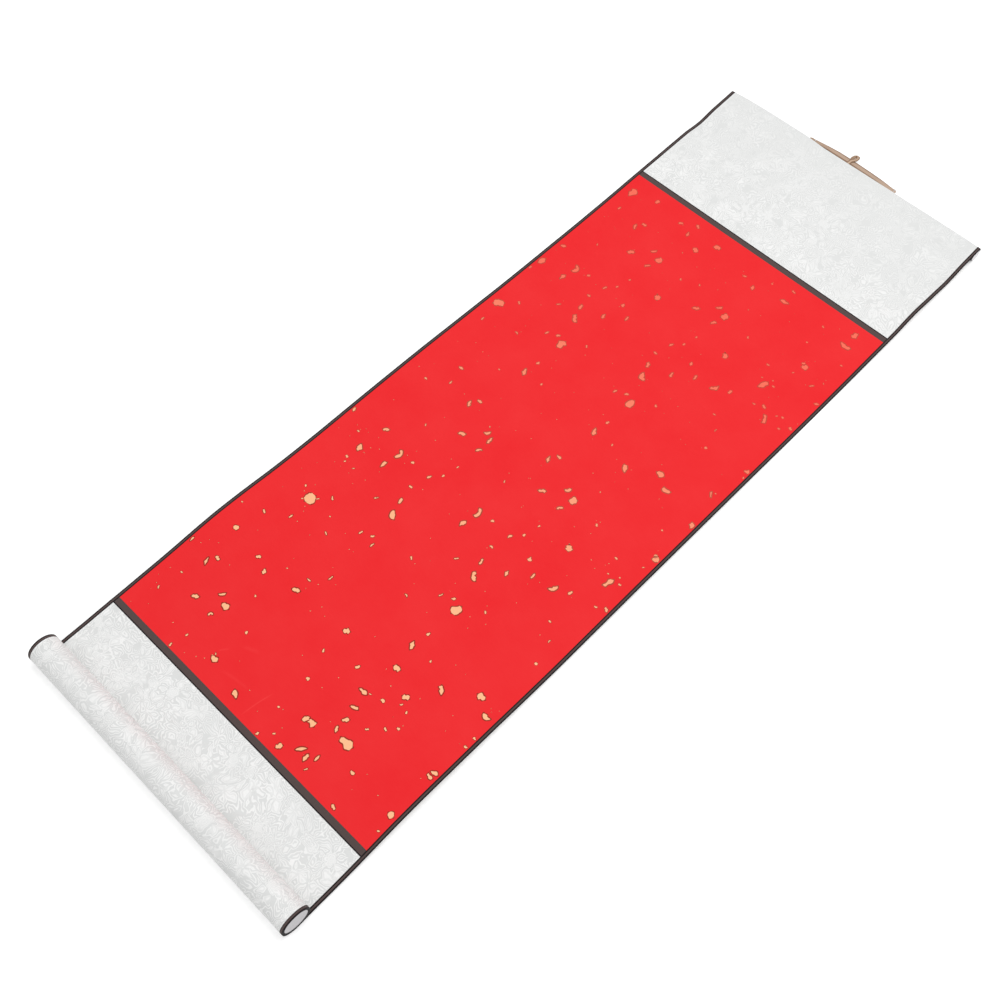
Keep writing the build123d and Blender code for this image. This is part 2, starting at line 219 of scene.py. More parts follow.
class ScrollColours(PropertyGroup):
    """Colours of the finishes, as a plain light shows them."""

    silk_ground: colour("Silk ground", "Ground of the damask", 226, 227, 226)
    silk_figure: colour("Silk figure", "Figure of the damask", 249, 249, 248)
    red_paper: colour("Red paper", "The paper's own red", 240, 40, 45)
    red_light: colour("Red paper, light", "Lighter red of its fibres", 250, 70, 70)
    cloth: colour("Cloth", "Middle of the bindings and strips", 86, 72, 70)
    cloth_edge: colour("Cloth edge", "Edges of the bindings and strips", 24, 18, 20)
    gold: colour("Gold leaf", "Flecks near the roller", 253, 192, 145)
    gold_far: colour("Gold leaf, far", "Flecks near the batten", 246, 112, 90)
    gold_rim: colour("Gold rim", "Thin outline of a fleck", 148, 4, 0)
    backing: colour("Backing paper", "Back of the sheet", 236, 232, 222)
    pine: colour("Pine", "Light wood of the dowel and batten", 214, 180, 132)
    pine_grain: colour("Pine grain", "Dark lines of the wood", 172, 128, 82)
    card: colour("End card", "Discs on the roller's ends", 219, 217, 219)
    card_rim: colour("End card rim", "Rim of the discs", 20, 15, 17)
    end_paper: colour("End paper", "Patches on the batten's ends", 252, 248, 250)
    tape: colour("Tape", "Upper face of the ribbon", 193, 166, 145)
    # Also the painted shade on the lower face of the ribbon and the loop
    tape_edge_and_underside_shade: colour("Tape edge", "Woven edges of the ribbon", 132, 100, 76)
    loop: colour("Loop", "Tie loop", 214, 185, 160)
    staple: colour("Staple", "Staple wire", 214, 210, 210)


class ScrollStage(PropertyGroup):
    """Camera and light."""

    camera_across: length("Camera across", "Camera's distance to the right of the middle", 431.61)
    camera_past: length("Camera past the roller", "Camera's distance behind the roller's axis", 36.92)
    camera_height: length("Camera height", "Camera's height over the table", 1066.89)
    camera_lean: angle("Camera lean", "Camera's angle from straight down", 29.499)
    camera_turn: angle("Camera turn", "Camera's turn to the left", 44.125)
    focal_length: number("Focal length", "Lens of the camera, in millimetres on a 36 mm sensor", 46.01)
    sky: number("Sky light", "Level of the even light from all round", 0.6)
    key: number("Key light", "Power of the large lamp over the scroll, in watts", 15.0)
    fill: number("Fill light", "Strength of the wide soft sun", 0.5)
    floor_lift: number("Floor lift", "What the white floor gives by itself to the camera", 0.25)


# The sheet's lie


def eased(value, low, high):
    """A smooth step from 0 at low to 1 at high, as share^2 (3 - 2 share)."""
    share = np.clip((value - low) / (high - low), 0, 1)
    return share * share * (3 - 2 * share)


def swell(rise, run):
    """A rise over a run as two even bends, one up and one back."""
    turn = 2 * rise / run
    return [(run / 2, turn), (run / 2, -turn)]


class SheetLie:
    """The sheet's side view, a row of stretches that each have a length and an angle they turn through.

    A place is a distance along the row, a level a height over the joint of face and backing, both in metres.
    """

    def __init__(self, sizes):
        self.sizes = s = sizes
        # Radii of the wrapped roller, levels of the layers, and half widths
        self.sheet_radius = s.dowel_radius + s.face
        self.roller_radius = self.sheet_radius + s.backing + s.binding
        self.roller_y = centre_of("roller_dowel").y
        self.under_backing = -s.backing
        self.under_binding = -s.backing - s.binding
        self.half_width = s.overall_width / 2
        self.face_half_width = self.half_width - s.binding_width
        table = s.backing + s.binding
        tilt = s.batten_tilt

        # Half-round section of the batten: a flat, two edge arcs and a belly arc tangent to both
        self.flat_half = s.batten_width / 2 - s.batten_edge
        edge_depth = s.batten_height - s.batten_edge
        span = self.flat_half**2 + edge_depth**2 - s.batten_edge**2
        belly_radius = span / (2 * (edge_depth - s.batten_edge))
        flat_rise = s.batten_height - belly_radius
        belly_reach = math.atan2(flat_rise - s.batten_edge, self.flat_half)
        wrapped_belly = belly_radius + s.backing + s.face
        bend_rise = flat_rise - s.backing - s.flap_glue - s.flap_bend
        to_bend = belly_radius + s.backing + s.flap_bend
        bend_reach = math.asin(bend_rise / to_bend)
        lead_in = math.sqrt(to_bend**2 - bend_rise**2) - self.flat_half + s.flap_length + s.flap_margin

        # Turn from the sheet's start round the roller to where it leaves it, and the climb to the batten
        to_lowest = s.crease + 3 * QUARTER_TURN
        wrap = to_lowest + s.lift
        wrap_run = self.sheet_radius * wrap
        after_roller = table + (self.sheet_radius + s.settle_run / s.lift) * (1 - math.cos(s.lift))
        second_level = after_roller + s.first_rise - s.hollow_drop + s.second_rise
        flat_level = (flat_rise + s.backing) * math.cos(tilt) - self.flat_half * math.sin(tilt)
        near_level = wrapped_belly + flat_level
        climb_rise = (
            near_level
            - table
            - s.climb_start / s.climb * (1 - math.cos(s.climb))
            - s.climb_end / (tilt - s.climb) * (math.cos(s.climb) - math.cos(tilt))
            - lead_in * math.sin(tilt)
        )
        climb_run = climb_rise / math.sin(s.climb)

        # Places of the panels' borders
        self.lowest = self.sheet_radius * to_lowest
        self.wrap_end = wrap_run
        self.bottom_strip = self.lowest + s.bottom_silk_run
        self.paper = self.bottom_strip + s.bottom_strip_width
        self.top_strip = self.paper + s.paper_length
        self.top_silk = self.top_strip + s.top_strip_width
        self.flat_end = self.top_silk + s.top_silk_run
        self.flat_start = self.flat_end - 2 * self.flat_half
        self.lead_in = self.flat_start - lead_in
        self.cover_end = self.lowest + s.cover_tail
        table_end = self.lead_in - s.climb_end - climb_run - s.climb_start
        second_end = wrap_run + s.settle_run + s.first_run + s.hollow_run + s.second_run
        descent = table_end - s.table_run - second_end

        # The row of stretches, each with its length and its turn
        edge_turn = QUARTER_TURN - belly_reach
        belly_turn = 2 * QUARTER_TURN + belly_reach + bend_reach
        bend_turn = QUARTER_TURN + bend_reach
        edge_run = (s.batten_edge + s.backing) * edge_turn
        belly_run = (belly_radius + s.backing) * belly_turn
        stretches = [
            (wrap_run, wrap),
            (s.settle_run, -s.lift),
            *swell(s.first_rise, s.first_run),
            *swell(-s.hollow_drop, s.hollow_run),
            *swell(s.second_rise, s.second_run),
            *swell(table - second_level, descent),
            (s.table_run, 0),
            (s.climb_start, s.climb),
            (climb_run, 0),
            (s.climb_end, tilt - s.climb),
            (lead_in, 0),
            (2 * self.flat_half, 0),
            (edge_run, -edge_turn),
            (belly_run, -belly_turn),
            (s.flap_bend * bend_turn, bend_turn),
            (s.flap_length, 0),
        ]
        self.belly = self.flat_end + edge_run
        self.under_batten = self.belly + belly_run * SLACK_BELLY
        self.lay_out(stretches)

    def lay_out(self, stretches):
        """Where each stretch starts: its place, its heading, and y and z as sums of the chords before it."""
        s = self.sizes
        self.lengths, self.turns = np.array(stretches).T
        self.ends = np.cumsum(self.lengths)
        self.starts = self.ends - self.lengths
        self.end = self.ends[-1]
        self.headings = QUARTER_TURN - s.crease + np.cumsum(self.turns) - self.turns
        dy, dz = self.moved(self.headings, self.lengths, self.turns)
        first_y = self.roller_y + self.sheet_radius * math.cos(s.crease)
        first_z = self.roller_radius - self.sheet_radius * math.sin(s.crease)
        self.y = first_y + np.cumsum(dy) - dy
        self.z = first_z + np.cumsum(dz) - dz

    @staticmethod
    def moved(heading, run, turn):
        """A chord: an arc's run times sin(half turn) / half turn, along the heading plus half the turn."""
        chord = run * np.sinc(turn / 2 / np.pi)
        return chord * np.cos(heading + turn / 2), chord * np.sin(heading + turn / 2)

    def at(self, place, level):
        """y and z of places on the sheet, each moved along its own upward normal by the level."""
        k = np.clip(np.searchsorted(self.starts, place, side="right") - 1, 0, len(self.starts) - 1)
        done = place - self.starts[k]
        turn = self.turns[k] * done / self.lengths[k]
        dy, dz = self.moved(self.headings[k], done, turn)
        heading = self.headings[k] + turn
        return self.y[k] + dy - level * np.sin(heading), self.z[k] + dz + level * np.cos(heading)

    def places(self, start, end):
        """Places from start to end, with each border of a stretch or panel, and steps that suit the bends."""
        borders = [*self.starts, self.end, self.lowest, self.bottom_strip, self.paper, self.top_strip]
        borders += [self.top_silk, self.flat_end, self.lead_in, self.cover_end]
        borders = np.unique(np.round(borders, 9))
        row = [borders[0]]
        for a, b in zip(borders, borders[1:]):
            k = np.searchsorted(self.starts, (a + b) / 2) - 1
            turned = abs(self.turns[k]) * (b - a) / self.lengths[k]
            steps = max(1, math.ceil((b - a) / self.sizes.grid_step), math.ceil(turned / BEND_STEP))
            row.extend(np.linspace(a, b, steps + 1)[1:])
        row = np.array(row)
        inside = row[(row > start + SHORTEST_STEP) & (row < end - SHORTEST_STEP)]
        return np.concatenate([[start], inside, [end]])

    def ripple(self, across, place):
        """Lift of the whole sheet: the mean of four long slanting waves, made zero or more, and faded out by
        smooth steps at the roller and at the batten, and the waves of its free edges, each one a bell
        (1 + cos) / 2 along the sheet that grows by a smooth step towards the edge."""
        # Where the ripples are calm and full from the roller and from the batten, and where a wave starts
        calm, full_roller, full_batten, wave_start = 0.01, 0.09, 0.07, 0.05
        rng = np.random.default_rng(RIPPLE_SEED)
        waves = 0
        for long_way, wide_way in LONG_WAVES:
            phase = rng.uniform(0, 2 * np.pi)
            waves = waves + np.sin(2 * np.pi * (place / long_way + across / wide_way) + phase)

        away = eased(place, self.wrap_end + calm, self.wrap_end + full_roller)
        away = away * (1 - eased(place, self.lead_in - full_batten, self.lead_in - calm))
        lift = self.sizes.ripple * (0.5 + waves / (2 * len(LONG_WAVES))) * away
        # Side of the scroll, share of the full wave, its middle along the sheet and its half length
        for side, share, middle, run in (
            (-1, -0.9, self.wrap_end + 0.13, 0.075),
            (1, 0.6, self.wrap_end + 0.11, 0.08),
            (1, 0.5, self.wrap_end + 0.57, 0.13),
            (-1, -0.75, self.flat_start - 0.047, 0.027),
            (1, 1.0, self.flat_start - 0.105, 0.034),
            (1, -0.9, self.flat_start - 0.045, 0.03),
        ):
            bell = (1 + np.cos(np.pi * np.clip(abs(place - middle) / run, 0, 1))) / 2
            grown = eased(side * across, wave_start, self.half_width)
            lift = lift + self.sizes.edge_wave * share * bell * grown
        return lift

    def slack(self, across):
        """How far the silk stands off the batten's outer side: 1 - share^8 towards both ends, and behind the
        ribbon only three tenths of it, which it reaches over half a wave (1 + cos) / 2 beside the ribbon."""
        ribbon_end, fall, least = -0.072, 0.04, 0.3
        free = (1 + np.cos(np.pi * np.clip((across - ribbon_end) / fall, 0, 1))) / 2
        towards_ends = 1 - (abs(across) / self.half_width) ** 8
        return self.sizes.batten_slack * towards_ends * (least + (1 - least) * free)

    def point(self, across, place, level):
        """Positions of points of the sheet, with the ripple added to their level and the slack to their y.
        The slack comes in by a smooth step over the batten's flat and goes out by one on its belly."""
        across, place, level = np.broadcast_arrays(across, place, level)
        y, z = self.at(place, level + self.ripple(across, place))
        outside = eased(place, self.flat_start, self.flat_end)
        outside = outside * (1 - eased(place, self.belly, self.under_batten))
        return np.stack([across, y + self.slack(across) * outside, z], -1)


# Meshes


def quads(rows, columns, around=False, closed=False):
    """Corner numbers of the quads of a grid of points that is stored row by row. Around joins each row's last
    point to its first one, and closed joins the last row to the first one."""
    column = np.arange(columns if around else columns - 1)
    row = np.arange(rows if closed else rows - 1)[:, None]
    after = (column + 1) % columns
    here, there = row * columns, (row + 1) % rows * columns
    return np.stack([here + column, here + after, there + after, there + column], -1).reshape(-1, 4)


def tube(rows, columns):
    """Quads of a tube of rings that is shut at both ends by quads from one half of the ring to the other."""
    near = np.arange(columns // 2 - 1)
    far = columns - 1 - near
    cap = np.stack([near, near + 1, far - 1, far], -1)
    return np.concatenate([quads(rows, columns, around=True), cap[:, ::-1], cap + (rows - 1) * columns])


def slab(rows, columns):
    """Quads of a slab: an upper grid, a lower grid turned over, and the walls round them."""
    grid = np.arange(rows * columns).reshape(rows, columns)
    ring = np.concatenate([grid[0], grid[1:, -1], grid[-1, -2::-1], grid[-2:0:-1, 0]])
    after = np.roll(ring, -1)
    walls = np.stack([ring + grid.size, after + grid.size, after, ring], -1)
    upper = quads(rows, columns)
    return np.concatenate([upper, upper[:, ::-1] + grid.size, walls])


def unit(vectors):
    """Vectors brought to a length of 1."""
    return vectors / np.linalg.norm(vectors, axis=1, keepdims=True)


def run_along(path):
    """Distance of each point of a path from its start, along the path."""
    return np.concatenate([[0], np.cumsum(np.linalg.norm(np.diff(path, axis=0), axis=1))])


def make_piece(name, points, faces, material, sharp=35.0, **attributes):
    """A mesh object at the origin whose faces point outwards, found from the sign of the volume they hold. An
    attribute is a number or a vector for each point."""
    points = np.asarray(points, float).reshape(-1, 3)
    first, second, third, fourth = (points[faces[:, k]] for k in range(4))
    held = np.einsum("ij,ij->i", first, np.cross(second, third) + np.cross(third, fourth)).sum()
    if held < 0:
        faces = faces[:, ::-1]
    mesh = bpy.data.meshes.new(name)
    mesh.vertices.add(len(points))
    mesh.vertices.foreach_set("co", points.astype(np.float32).ravel())
    mesh.loops.add(faces.size)
    mesh.loops.foreach_set("vertex_index", faces.astype(np.int32).ravel())
    mesh.polygons.add(len(faces))
    mesh.polygons.foreach_set("loop_start", np.arange(0, faces.size, 4, dtype=np.int32))
    for attribute, values in attributes.items():
        kind, key = ("FLOAT", "value") if values.size == len(points) else ("FLOAT_VECTOR", "vector")
        made = mesh.attributes.new(attribute, kind, "POINT")
        made.data.foreach_set(key, values.astype(np.float32).ravel())
    mesh.update(calc_edges=True)
    mesh.validate()
    mesh.shade_smooth()
    mesh.set_sharp_from_angle(angle=math.radians(sharp))
    mesh.materials.append(material)
    piece = bpy.data.objects.new(name, mesh)
    bpy.context.scene.collection.objects.link(piece)
    return piece


def tell(piece, slot, *nodes):
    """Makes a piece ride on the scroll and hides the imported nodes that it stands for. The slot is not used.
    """
    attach(piece, BODY)
    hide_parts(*nodes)
    return piece


def joined(context, parts):
    """The first of some meshes, with the others joined to it."""
    with context.temp_override(active_object=parts[0], selected_editable_objects=parts):
        bpy.ops.object.join()
    return parts[0]


def sheet_layer(lie, name, start, end, outer, inner, material):
    """A layer of the sheet: a closed profile of (across, level) pairs carried along the places.

    The outer and inner outlines have as many points, so quads between them close the two ends.
    """
    profile = np.concatenate([outer, inner[::-1]])
    places = lie.places(start, end)
    across = np.broadcast_to(profile[:, 0], (len(places), len(profile)))
    level = np.broadcast_to(profile[:, 1], across.shape)
    place = np.broadcast_to(places[:, None], across.shape)
    points = lie.point(across, place, level)
    lay = np.stack([across, place, level], -1)
    return make_piece(name, points, tube(len(places), len(profile)), material, lay=lay)


def flat_layer(lie, name, start, end, low, high, half_width, material):
    """A layer with a plain slab as its profile, from one level to another."""
    across = np.linspace(-half_width, half_width, math.ceil(2 * half_width / lie.sizes.grid_step) + 1)
    outer, inner = (np.stack([across, np.full_like(across, level)], -1) for level in (high, low))
    return sheet_layer(lie, name, start, end, outer, inner, material)


# Finishes


def sums(operation, turned=False):
    """A method that puts a term and its other values through a sum, turned where the term stands last."""
    if turned:
        return lambda term, *others: term.finish.sum(operation, *others, term)
    return lambda term, *others: term.finish.sum(operation, term, *others)


class Term:
    """An output of a node in a finish, on which sums are written as on a number."""

    def __init__(self, finish, socket):
        self.finish, self.socket = finish, socket

    __add__, __radd__ = sums("ADD"), sums("ADD", True)
    __sub__, __rsub__ = sums("SUBTRACT"), sums("SUBTRACT", True)
    __mul__, __rmul__ = sums("MULTIPLY"), sums("MULTIPLY", True)
    __truediv__, __rtruediv__ = sums("DIVIDE"), sums("DIVIDE", True)
    __abs__, sin, cos, root = sums("ABSOLUTE"), sums("SINE"), sums("COSINE"), sums("SQRT")
    power, least, most, fold = sums("POWER"), sums("MINIMUM"), sums("MAXIMUM"), sums("PINGPONG")

    def step(self, low, high):
        """Rises smoothly from 0 at low to 1 at high, or falls if low is the larger."""
        ends = {"From Min": low, "From Max": high}
        if low > high:
            ends = {"From Min": high, "From Max": low, "To Min": 1.0, "To Max": 0.0}
        return self.finish.add("ShaderNodeMapRange", {"Value": self, **ends}, interpolation_type="SMOOTHSTEP")

    def kept(self):
        """Held between 0 and 1."""
        return self.most(0.0).least(1.0)


def add_node(tree, kind, inputs, **settings):
    """Adds a node with its settings, and fills its inputs, which are given by name or number."""
    node = tree.nodes.new(kind)
    for key, value in settings.items():
        setattr(node, key, value)
    for key, value in inputs.items():
        fill(tree, node, key, value)
    return node


def fill(tree, node, key, value):
    """Links an input to a socket, or gives it a plain value."""
    if isinstance(value, bpy.types.NodeSocket):
        tree.links.new(value, node.inputs[key])
    else:
        node.inputs[key].default_value = value


def socket_of(value):
    """The socket of a term, or the plain value."""
    return value.socket if isinstance(value, Term) else value


class Finish:
    """A material whose nodes are written as sums."""

    def __init__(self, name):
        self.material = bpy.data.materials.new(name)
        self.material.use_nodes = True
        self.tree = self.material.node_tree
        self.shader = self.tree.nodes["Principled BSDF"]

    def add(self, kind, inputs, output=0, **settings):
        """Adds a node whose inputs may be terms, and gives its output as a term."""
        node = add_node(self.tree, kind, {key: socket_of(value) for key, value in inputs.items()}, **settings)
        return Term(self, node.outputs[output])

    def sum(self, operation, *values):
        """One sum of up to three values."""
        return self.add("ShaderNodeMath", dict(enumerate(values)), operation=operation)

    def apart(self, vector):
        """The three parts of a vector given in metres, in millimetres."""
        node = add_node(self.tree, "ShaderNodeSeparateXYZ", {0: vector.socket})
        return [mm(Term(self, out)) for out in node.outputs]

    def together(self, *parts):
        """A vector of three parts."""
        return self.add("ShaderNodeCombineXYZ", dict(enumerate(parts)))

    def lay(self):
        """Across, place and level of the sheet, or along and across of a tape, in millimetres."""
        return self.apart(self.add("ShaderNodeAttribute", {}, "Vector", attribute_name="lay"))

    def mark(self, name):
        """A plain number that the piece's points carry under a name."""
        return self.add("ShaderNodeAttribute", {}, "Fac", attribute_name=name)

    def place(self):
        """Position on the object, in millimetres."""
        return self.apart(self.add("ShaderNodeTexCoord", {}, "Object"))

    def noise(self, vector, pitch, detail=2.0, roughness=0.5):
        """Noise whose lumps are about a pitch apart, from 0 to 1."""
        values = {"Vector": vector, "Scale": 1 / pitch, "Detail": detail, "Roughness": roughness}
        return self.add("ShaderNodeTexNoise", values)

    def blend(self, share, low, high):
        """A colour between two others."""
        low, high = (value if isinstance(value, Term) else (*value, 1.0) for value in (low, high))
        return self.add("ShaderNodeMix", {0: share, 6: low, 7: high}, 2, data_type="RGBA")

    def close(self, surface, relief, relief_height, **values):
        """Ends the finish: its colour, its relief in millimetres, and the shader's other values."""
        bump = {"Distance": relief_height * MILLIMETRE, "Height": relief}
        values["Normal"] = self.add("ShaderNodeBump", bump)
        for key, value in {"Base Color": surface, **values}.items():
            fill(self.tree, self.shader, key.replace("_", " "), socket_of(value))
        return self.material


def plain_weave(u, v, pitch):
    """Over and under of a plain weave: sin(pi u / pitch) times sin(pi v / pitch)."""
    return (u * (math.pi / pitch)).sin() * (v * (math.pi / pitch)).sin()


def damask_silk(colours, lie):
    """Silk damask, drawn from one distance: how far a point lies from the edge of the nearest flower or leaf.

    Inside a motif the distance gives rings of petals and ribs, outside it gives contour lines that follow the
    motif. The drawing is mirrored from block to block, and noise pushes its points about before it is drawn.
    Towards the batten the figure is weakened and the ground darkened: painted shade for the light there.
    """
    f = Finish("damask_silk")
    u, v = f.lay()[:2]
    place = v
    wide_push, fine_push = 30, 5.5
    spot = f.together(u, v, 0.0)
    other = f.together(v, u, 40.0)
    u = u + (f.noise(spot, 33, 1.0) - 0.5) * wide_push + (f.noise(spot, 7, 1.0) - 0.5) * fine_push
    v = v + (f.noise(other, 33, 1.0) - 0.5) * wide_push + (f.noise(other, 7, 1.0) - 0.5) * fine_push
    block_width, block_height, blocks_below, slant = 51.75, 50.0, 20, 0.12
    cell_u = (u + v * slant + block_width * blocks_below).fold(block_width)
    cell_v = (v + block_height * blocks_below).fold(block_height)

    def around(middle_u, middle_v):
        """Distance and way from a motif's middle in the folded block."""
        du, dv = cell_u - middle_u, cell_v - middle_v
        return (du * du + dv * dv).root(), f.sum("ARCTAN2", dv, du)

    def flower(middle_u, middle_v, radius, petals):
        """Distance to a rim that swings in and out with the way, as radius (0.6 + 0.4 |sin|^0.7)."""
        reach, way = around(middle_u, middle_v)
        lobe = abs((way * (petals / 2)).sin()).power(0.7)
        return reach - radius * (0.6 + 0.4 * lobe)

    def leaves(middle_u, middle_v, near, far, width, number, turn):
        """Distance to a fan of leaves: the way folded into a sector, then a lens from near to far in it."""
        reach, way = around(middle_u, middle_v)
        folded = (way + (turn + 4 * math.pi)).fold(math.pi / number) - math.pi / number * 0.5
        along, aside = reach * folded.cos(), abs(reach * folded.sin())
        over = (near - along).most(along - far).most(0.0)
        share = ((along - near) / (far - near)).kept()
        lens = (share * math.pi).sin() * width
        return (aside * aside + over * over).root() - lens

    line_pitch, twill_pitch, wobble = 2.3, 0.45, 2.6
    # The last value is the most of the painted shade towards the batten
    least_in_motif, most_filled, least_worn, painted_top_shade_most = 0.12, 0.4, 0.72, 0.45
    gap = flower(9, 11, 6.0, 5)
    for motif in (
        flower(41, 33, 6.5, 6),
        leaves(9, 11, 7, 15, 2.3, 5, 0.4),
        leaves(41, 33, 8, 17, 2.2, 4, 1.3),
        leaves(27, 24, 1, 9, 2.2, 3, 0.2),
        leaves(14, 38, 1, 12, 2.4, 3, 2.2),
        leaves(44, 8, 1, 12, 2.6, 3, 0.9),
    ):
        gap = gap.least(motif)
    lines = ((gap + (f.noise(spot, 9, 1.0) - 0.5) * wobble) * (2 * math.pi / line_pitch)).sin()
    inside = gap.step(0.3, -0.3)
    drawn = (f.noise(spot, 15, 1.0, 0.6) - gap * 0.02).step(0.3, 0.34)
    outside = (1 - inside) * drawn
    filled = f.noise(other, 21, 0.0).step(0.48, 0.54) * most_filled
    ribbed = (1 - least_in_motif - filled) * lines.step(-0.1, 0.6)
    figure = inside * (least_in_motif + filled + ribbed)
    figure = figure + outside * lines.step(0.1, 0.75)
    worn = least_worn + (1 - least_worn) * f.noise(spot, 45, 2.0).step(0.32, 0.6)
    # Painted shade towards the batten: a share that weakens the figure there, for how the light falls on the
    # top silk
    painted_top_shade_keep = 1 - painted_top_shade_most * place.step(mm(lie.top_strip) - 60, mm(lie.end))
    share = figure * worn * painted_top_shade_keep
    patch = f.noise(spot, 1.2, 1.0) - 0.5
    # The last term darkens the ground towards the batten as painted shade
    surface = f.blend(share + patch * 0.3 - (1 - painted_top_shade_keep) * 0.3, colours.silk_ground, colours.silk_figure)
    twill = ((u + v * 2) * (math.pi / twill_pitch)).sin()
    return f.close(
        surface, share * 0.8 + twill * 0.25, 0.05, Roughness=0.52, Sheen_Weight=0.12, Sheen_Roughness=0.4,
        Specular_IOR_Level=0.25,
    )


def red_paper(colours, lie):
    """Dyed paper: a clear red with faint clouds and fibres, and a few pale streaks near the roller."""
    f = Finish("red_paper")
    u, v = f.lay()[:2]
    spot = f.together(u, v, 0.0)
    clouds = f.noise(spot, 60, 3.0, 0.6)
    fibres = f.noise(f.together(u * 0.25, v * 1.8, 0.0), 2.2, 2.0, 0.7)
    fine = f.noise(spot, 0.8, 1.0)
    up = v - mm(lie.paper)
    pale_streaks = 0
    # Middle across, middle up the paper, half length, lean in radians, half width and strength of each streak
    for middle_u, middle_v, half, lean, reach, strength in (
        (3.5, 20, 19, 1.38, 0.9, 0.5), (-27, 22, 19, 0.15, 2.2, 0.2),
        (-56, 33, 6, 0.9, 1.2, 0.3), (-38, 50, 9, 0.4, 3, 0.2),
    ):
        du, dv = u - middle_u, up - middle_v
        along = du * math.cos(lean) + dv * math.sin(lean)
        aside = dv * math.cos(lean) - du * math.sin(lean) + along * along * (0.06 / half)
        pale_streaks = pale_streaks + abs(aside).step(reach, 0.0) * abs(along).step(half, half * 0.4) * strength
    share = 0.14 + (clouds - 0.5) * 0.5 + (fibres - 0.5) * 0.2 + pale_streaks * (0.5 + fine)
    surface = f.blend(share.kept(), colours.red_paper, colours.red_light)
    return f.close(
        surface, fibres * 0.6 + fine * 0.4, 0.03, Roughness=0.82, Specular_IOR_Level=0.12, Sheen_Weight=0.02
    )


def brown_cloth(colours, name, from_edge):
    """Plain cloth with near-black folded edges. The function from_edge gives the distance to them."""
    f = Finish(name)
    u, v, level = f.lay()
    weave = plain_weave(u, v, pitch=0.42)
    spot = f.together(u, v, level)
    slub = f.noise(f.together(u * 4.0, v * 0.5, 0.0), 3, 2.0)
    fuzz = f.noise(spot, 0.7, 2.0)
    edge_end, edge_full = 1.5, 0.95
    edge = from_edge(u, v).step(edge_end, edge_full)
    share = (edge + (slub - 0.5) * 0.35 + (fuzz - 0.5) * 0.25).kept()
    surface = f.blend(share, colours.cloth, colours.cloth_edge)
    return f.close(
        surface, weave * 0.5 + fuzz * 0.5, 0.06, Roughness=0.9, Specular_IOR_Level=0.2, Sheen_Weight=0.12,
        Sheen_Roughness=0.5,
    )


def backing_paper(colours):
    """Laid paper: fibres both ways under soft clouds."""
    f = Finish("backing_paper")
    u, v = f.lay()[:2]
    spot = f.together(u, v, 0.0)
    clouds = f.noise(spot, 30, 3.0)
    fibres = f.noise(f.together(u * 0.3, v * 2.0, 0.0), 1.6, 3.0, 0.7)
    brighter = 1.08
    pale = [min(1, channel * brighter) for channel in colours.backing]
    surface = f.blend(clouds * 0.5 + fibres * 0.5, colours.backing, pale)
    return f.close(surface, fibres, 0.05, Roughness=0.88, Specular_IOR_Level=0.2)


def gold_leaf(colours, lie):
    """Printed gold: warmer near the roller, pinker near the batten, with a thin dark rim."""
    f = Finish("gold_leaf")
    u, v = f.lay()[:2]
    # The pinker tone starts and is full at these distances up the paper, in millimetres
    pink_from, pink_to = 120, 620
    far = v.step(mm(lie.paper) + pink_from, mm(lie.paper) + pink_to)
    crumple = f.noise(f.together(u, v, 0.0), 1.6, 2.0)
    tone = f.blend(far, colours.gold, colours.gold_far)
    tone = f.blend(crumple.step(0.5, 0.9) * 0.12, tone, colours.gold_rim)
    rim = f.mark("rim").step(0.0, 0.2) * (0.95 - 0.35 * far)
    surface = f.blend(rim, tone, colours.gold_rim)
    return f.close(surface, crumple, 0.08, Roughness=0.55, Metallic=0.1, Specular_IOR_Level=0.12)


def pine_wood(colours):
    """Pine: growth rings round an axis well below the rod, with fine long pores."""
    f = Finish("pine")
    x, y, z = f.place()
    warp_height, axis_depth, rings_per_way, flatness = 6, 60, 2.1, 0.02
    warp = f.noise(f.together(x * 0.05, y, z), 12, 2.0) * warp_height
    reach = (y * y * flatness + (z + axis_depth) * (z + axis_depth)).root()
    rings = ((reach + warp) * rings_per_way).sin()
    pores = f.noise(f.together(x * 0.06, y, z), 0.5, 2.0)
    share = rings.step(0.1, 0.95) * 0.6 + pores.step(0.55, 0.8) * 0.3
    surface = f.blend(share, colours.pine, colours.pine_grain)
    return f.close(surface, share + pores, 0.04, Roughness=0.6, Specular_IOR_Level=0.3)


def end_card(colours, name, middle, radius, rim_width, rise, face):
    """Pale card with short fibres and a dark rim, a ring round a point that lies a rise above the middle."""
    f = Finish(name)
    x, y, z = f.place()
    spot, rim_start, blur = f.together(x, y, z), mm(radius) - rim_width, 0.15
    dy, dz = y - mm(middle.y), z - mm(middle.z) - rise
    reach = (dy * dy + dz * dz).root()
    fibres = f.noise(spot, 0.9, 3.0, 0.7) + f.noise(spot, 7.0, 1.0) * 0.4 - 0.2
    rim = reach.step(rim_start - blur, rim_start + blur)
    share = (rim + (fibres - 0.5) * 0.3).kept()
    surface = f.blend(share, face, colours.card_rim)
    return f.close(surface, fibres, 0.06, Roughness=0.85, Specular_IOR_Level=0.25)


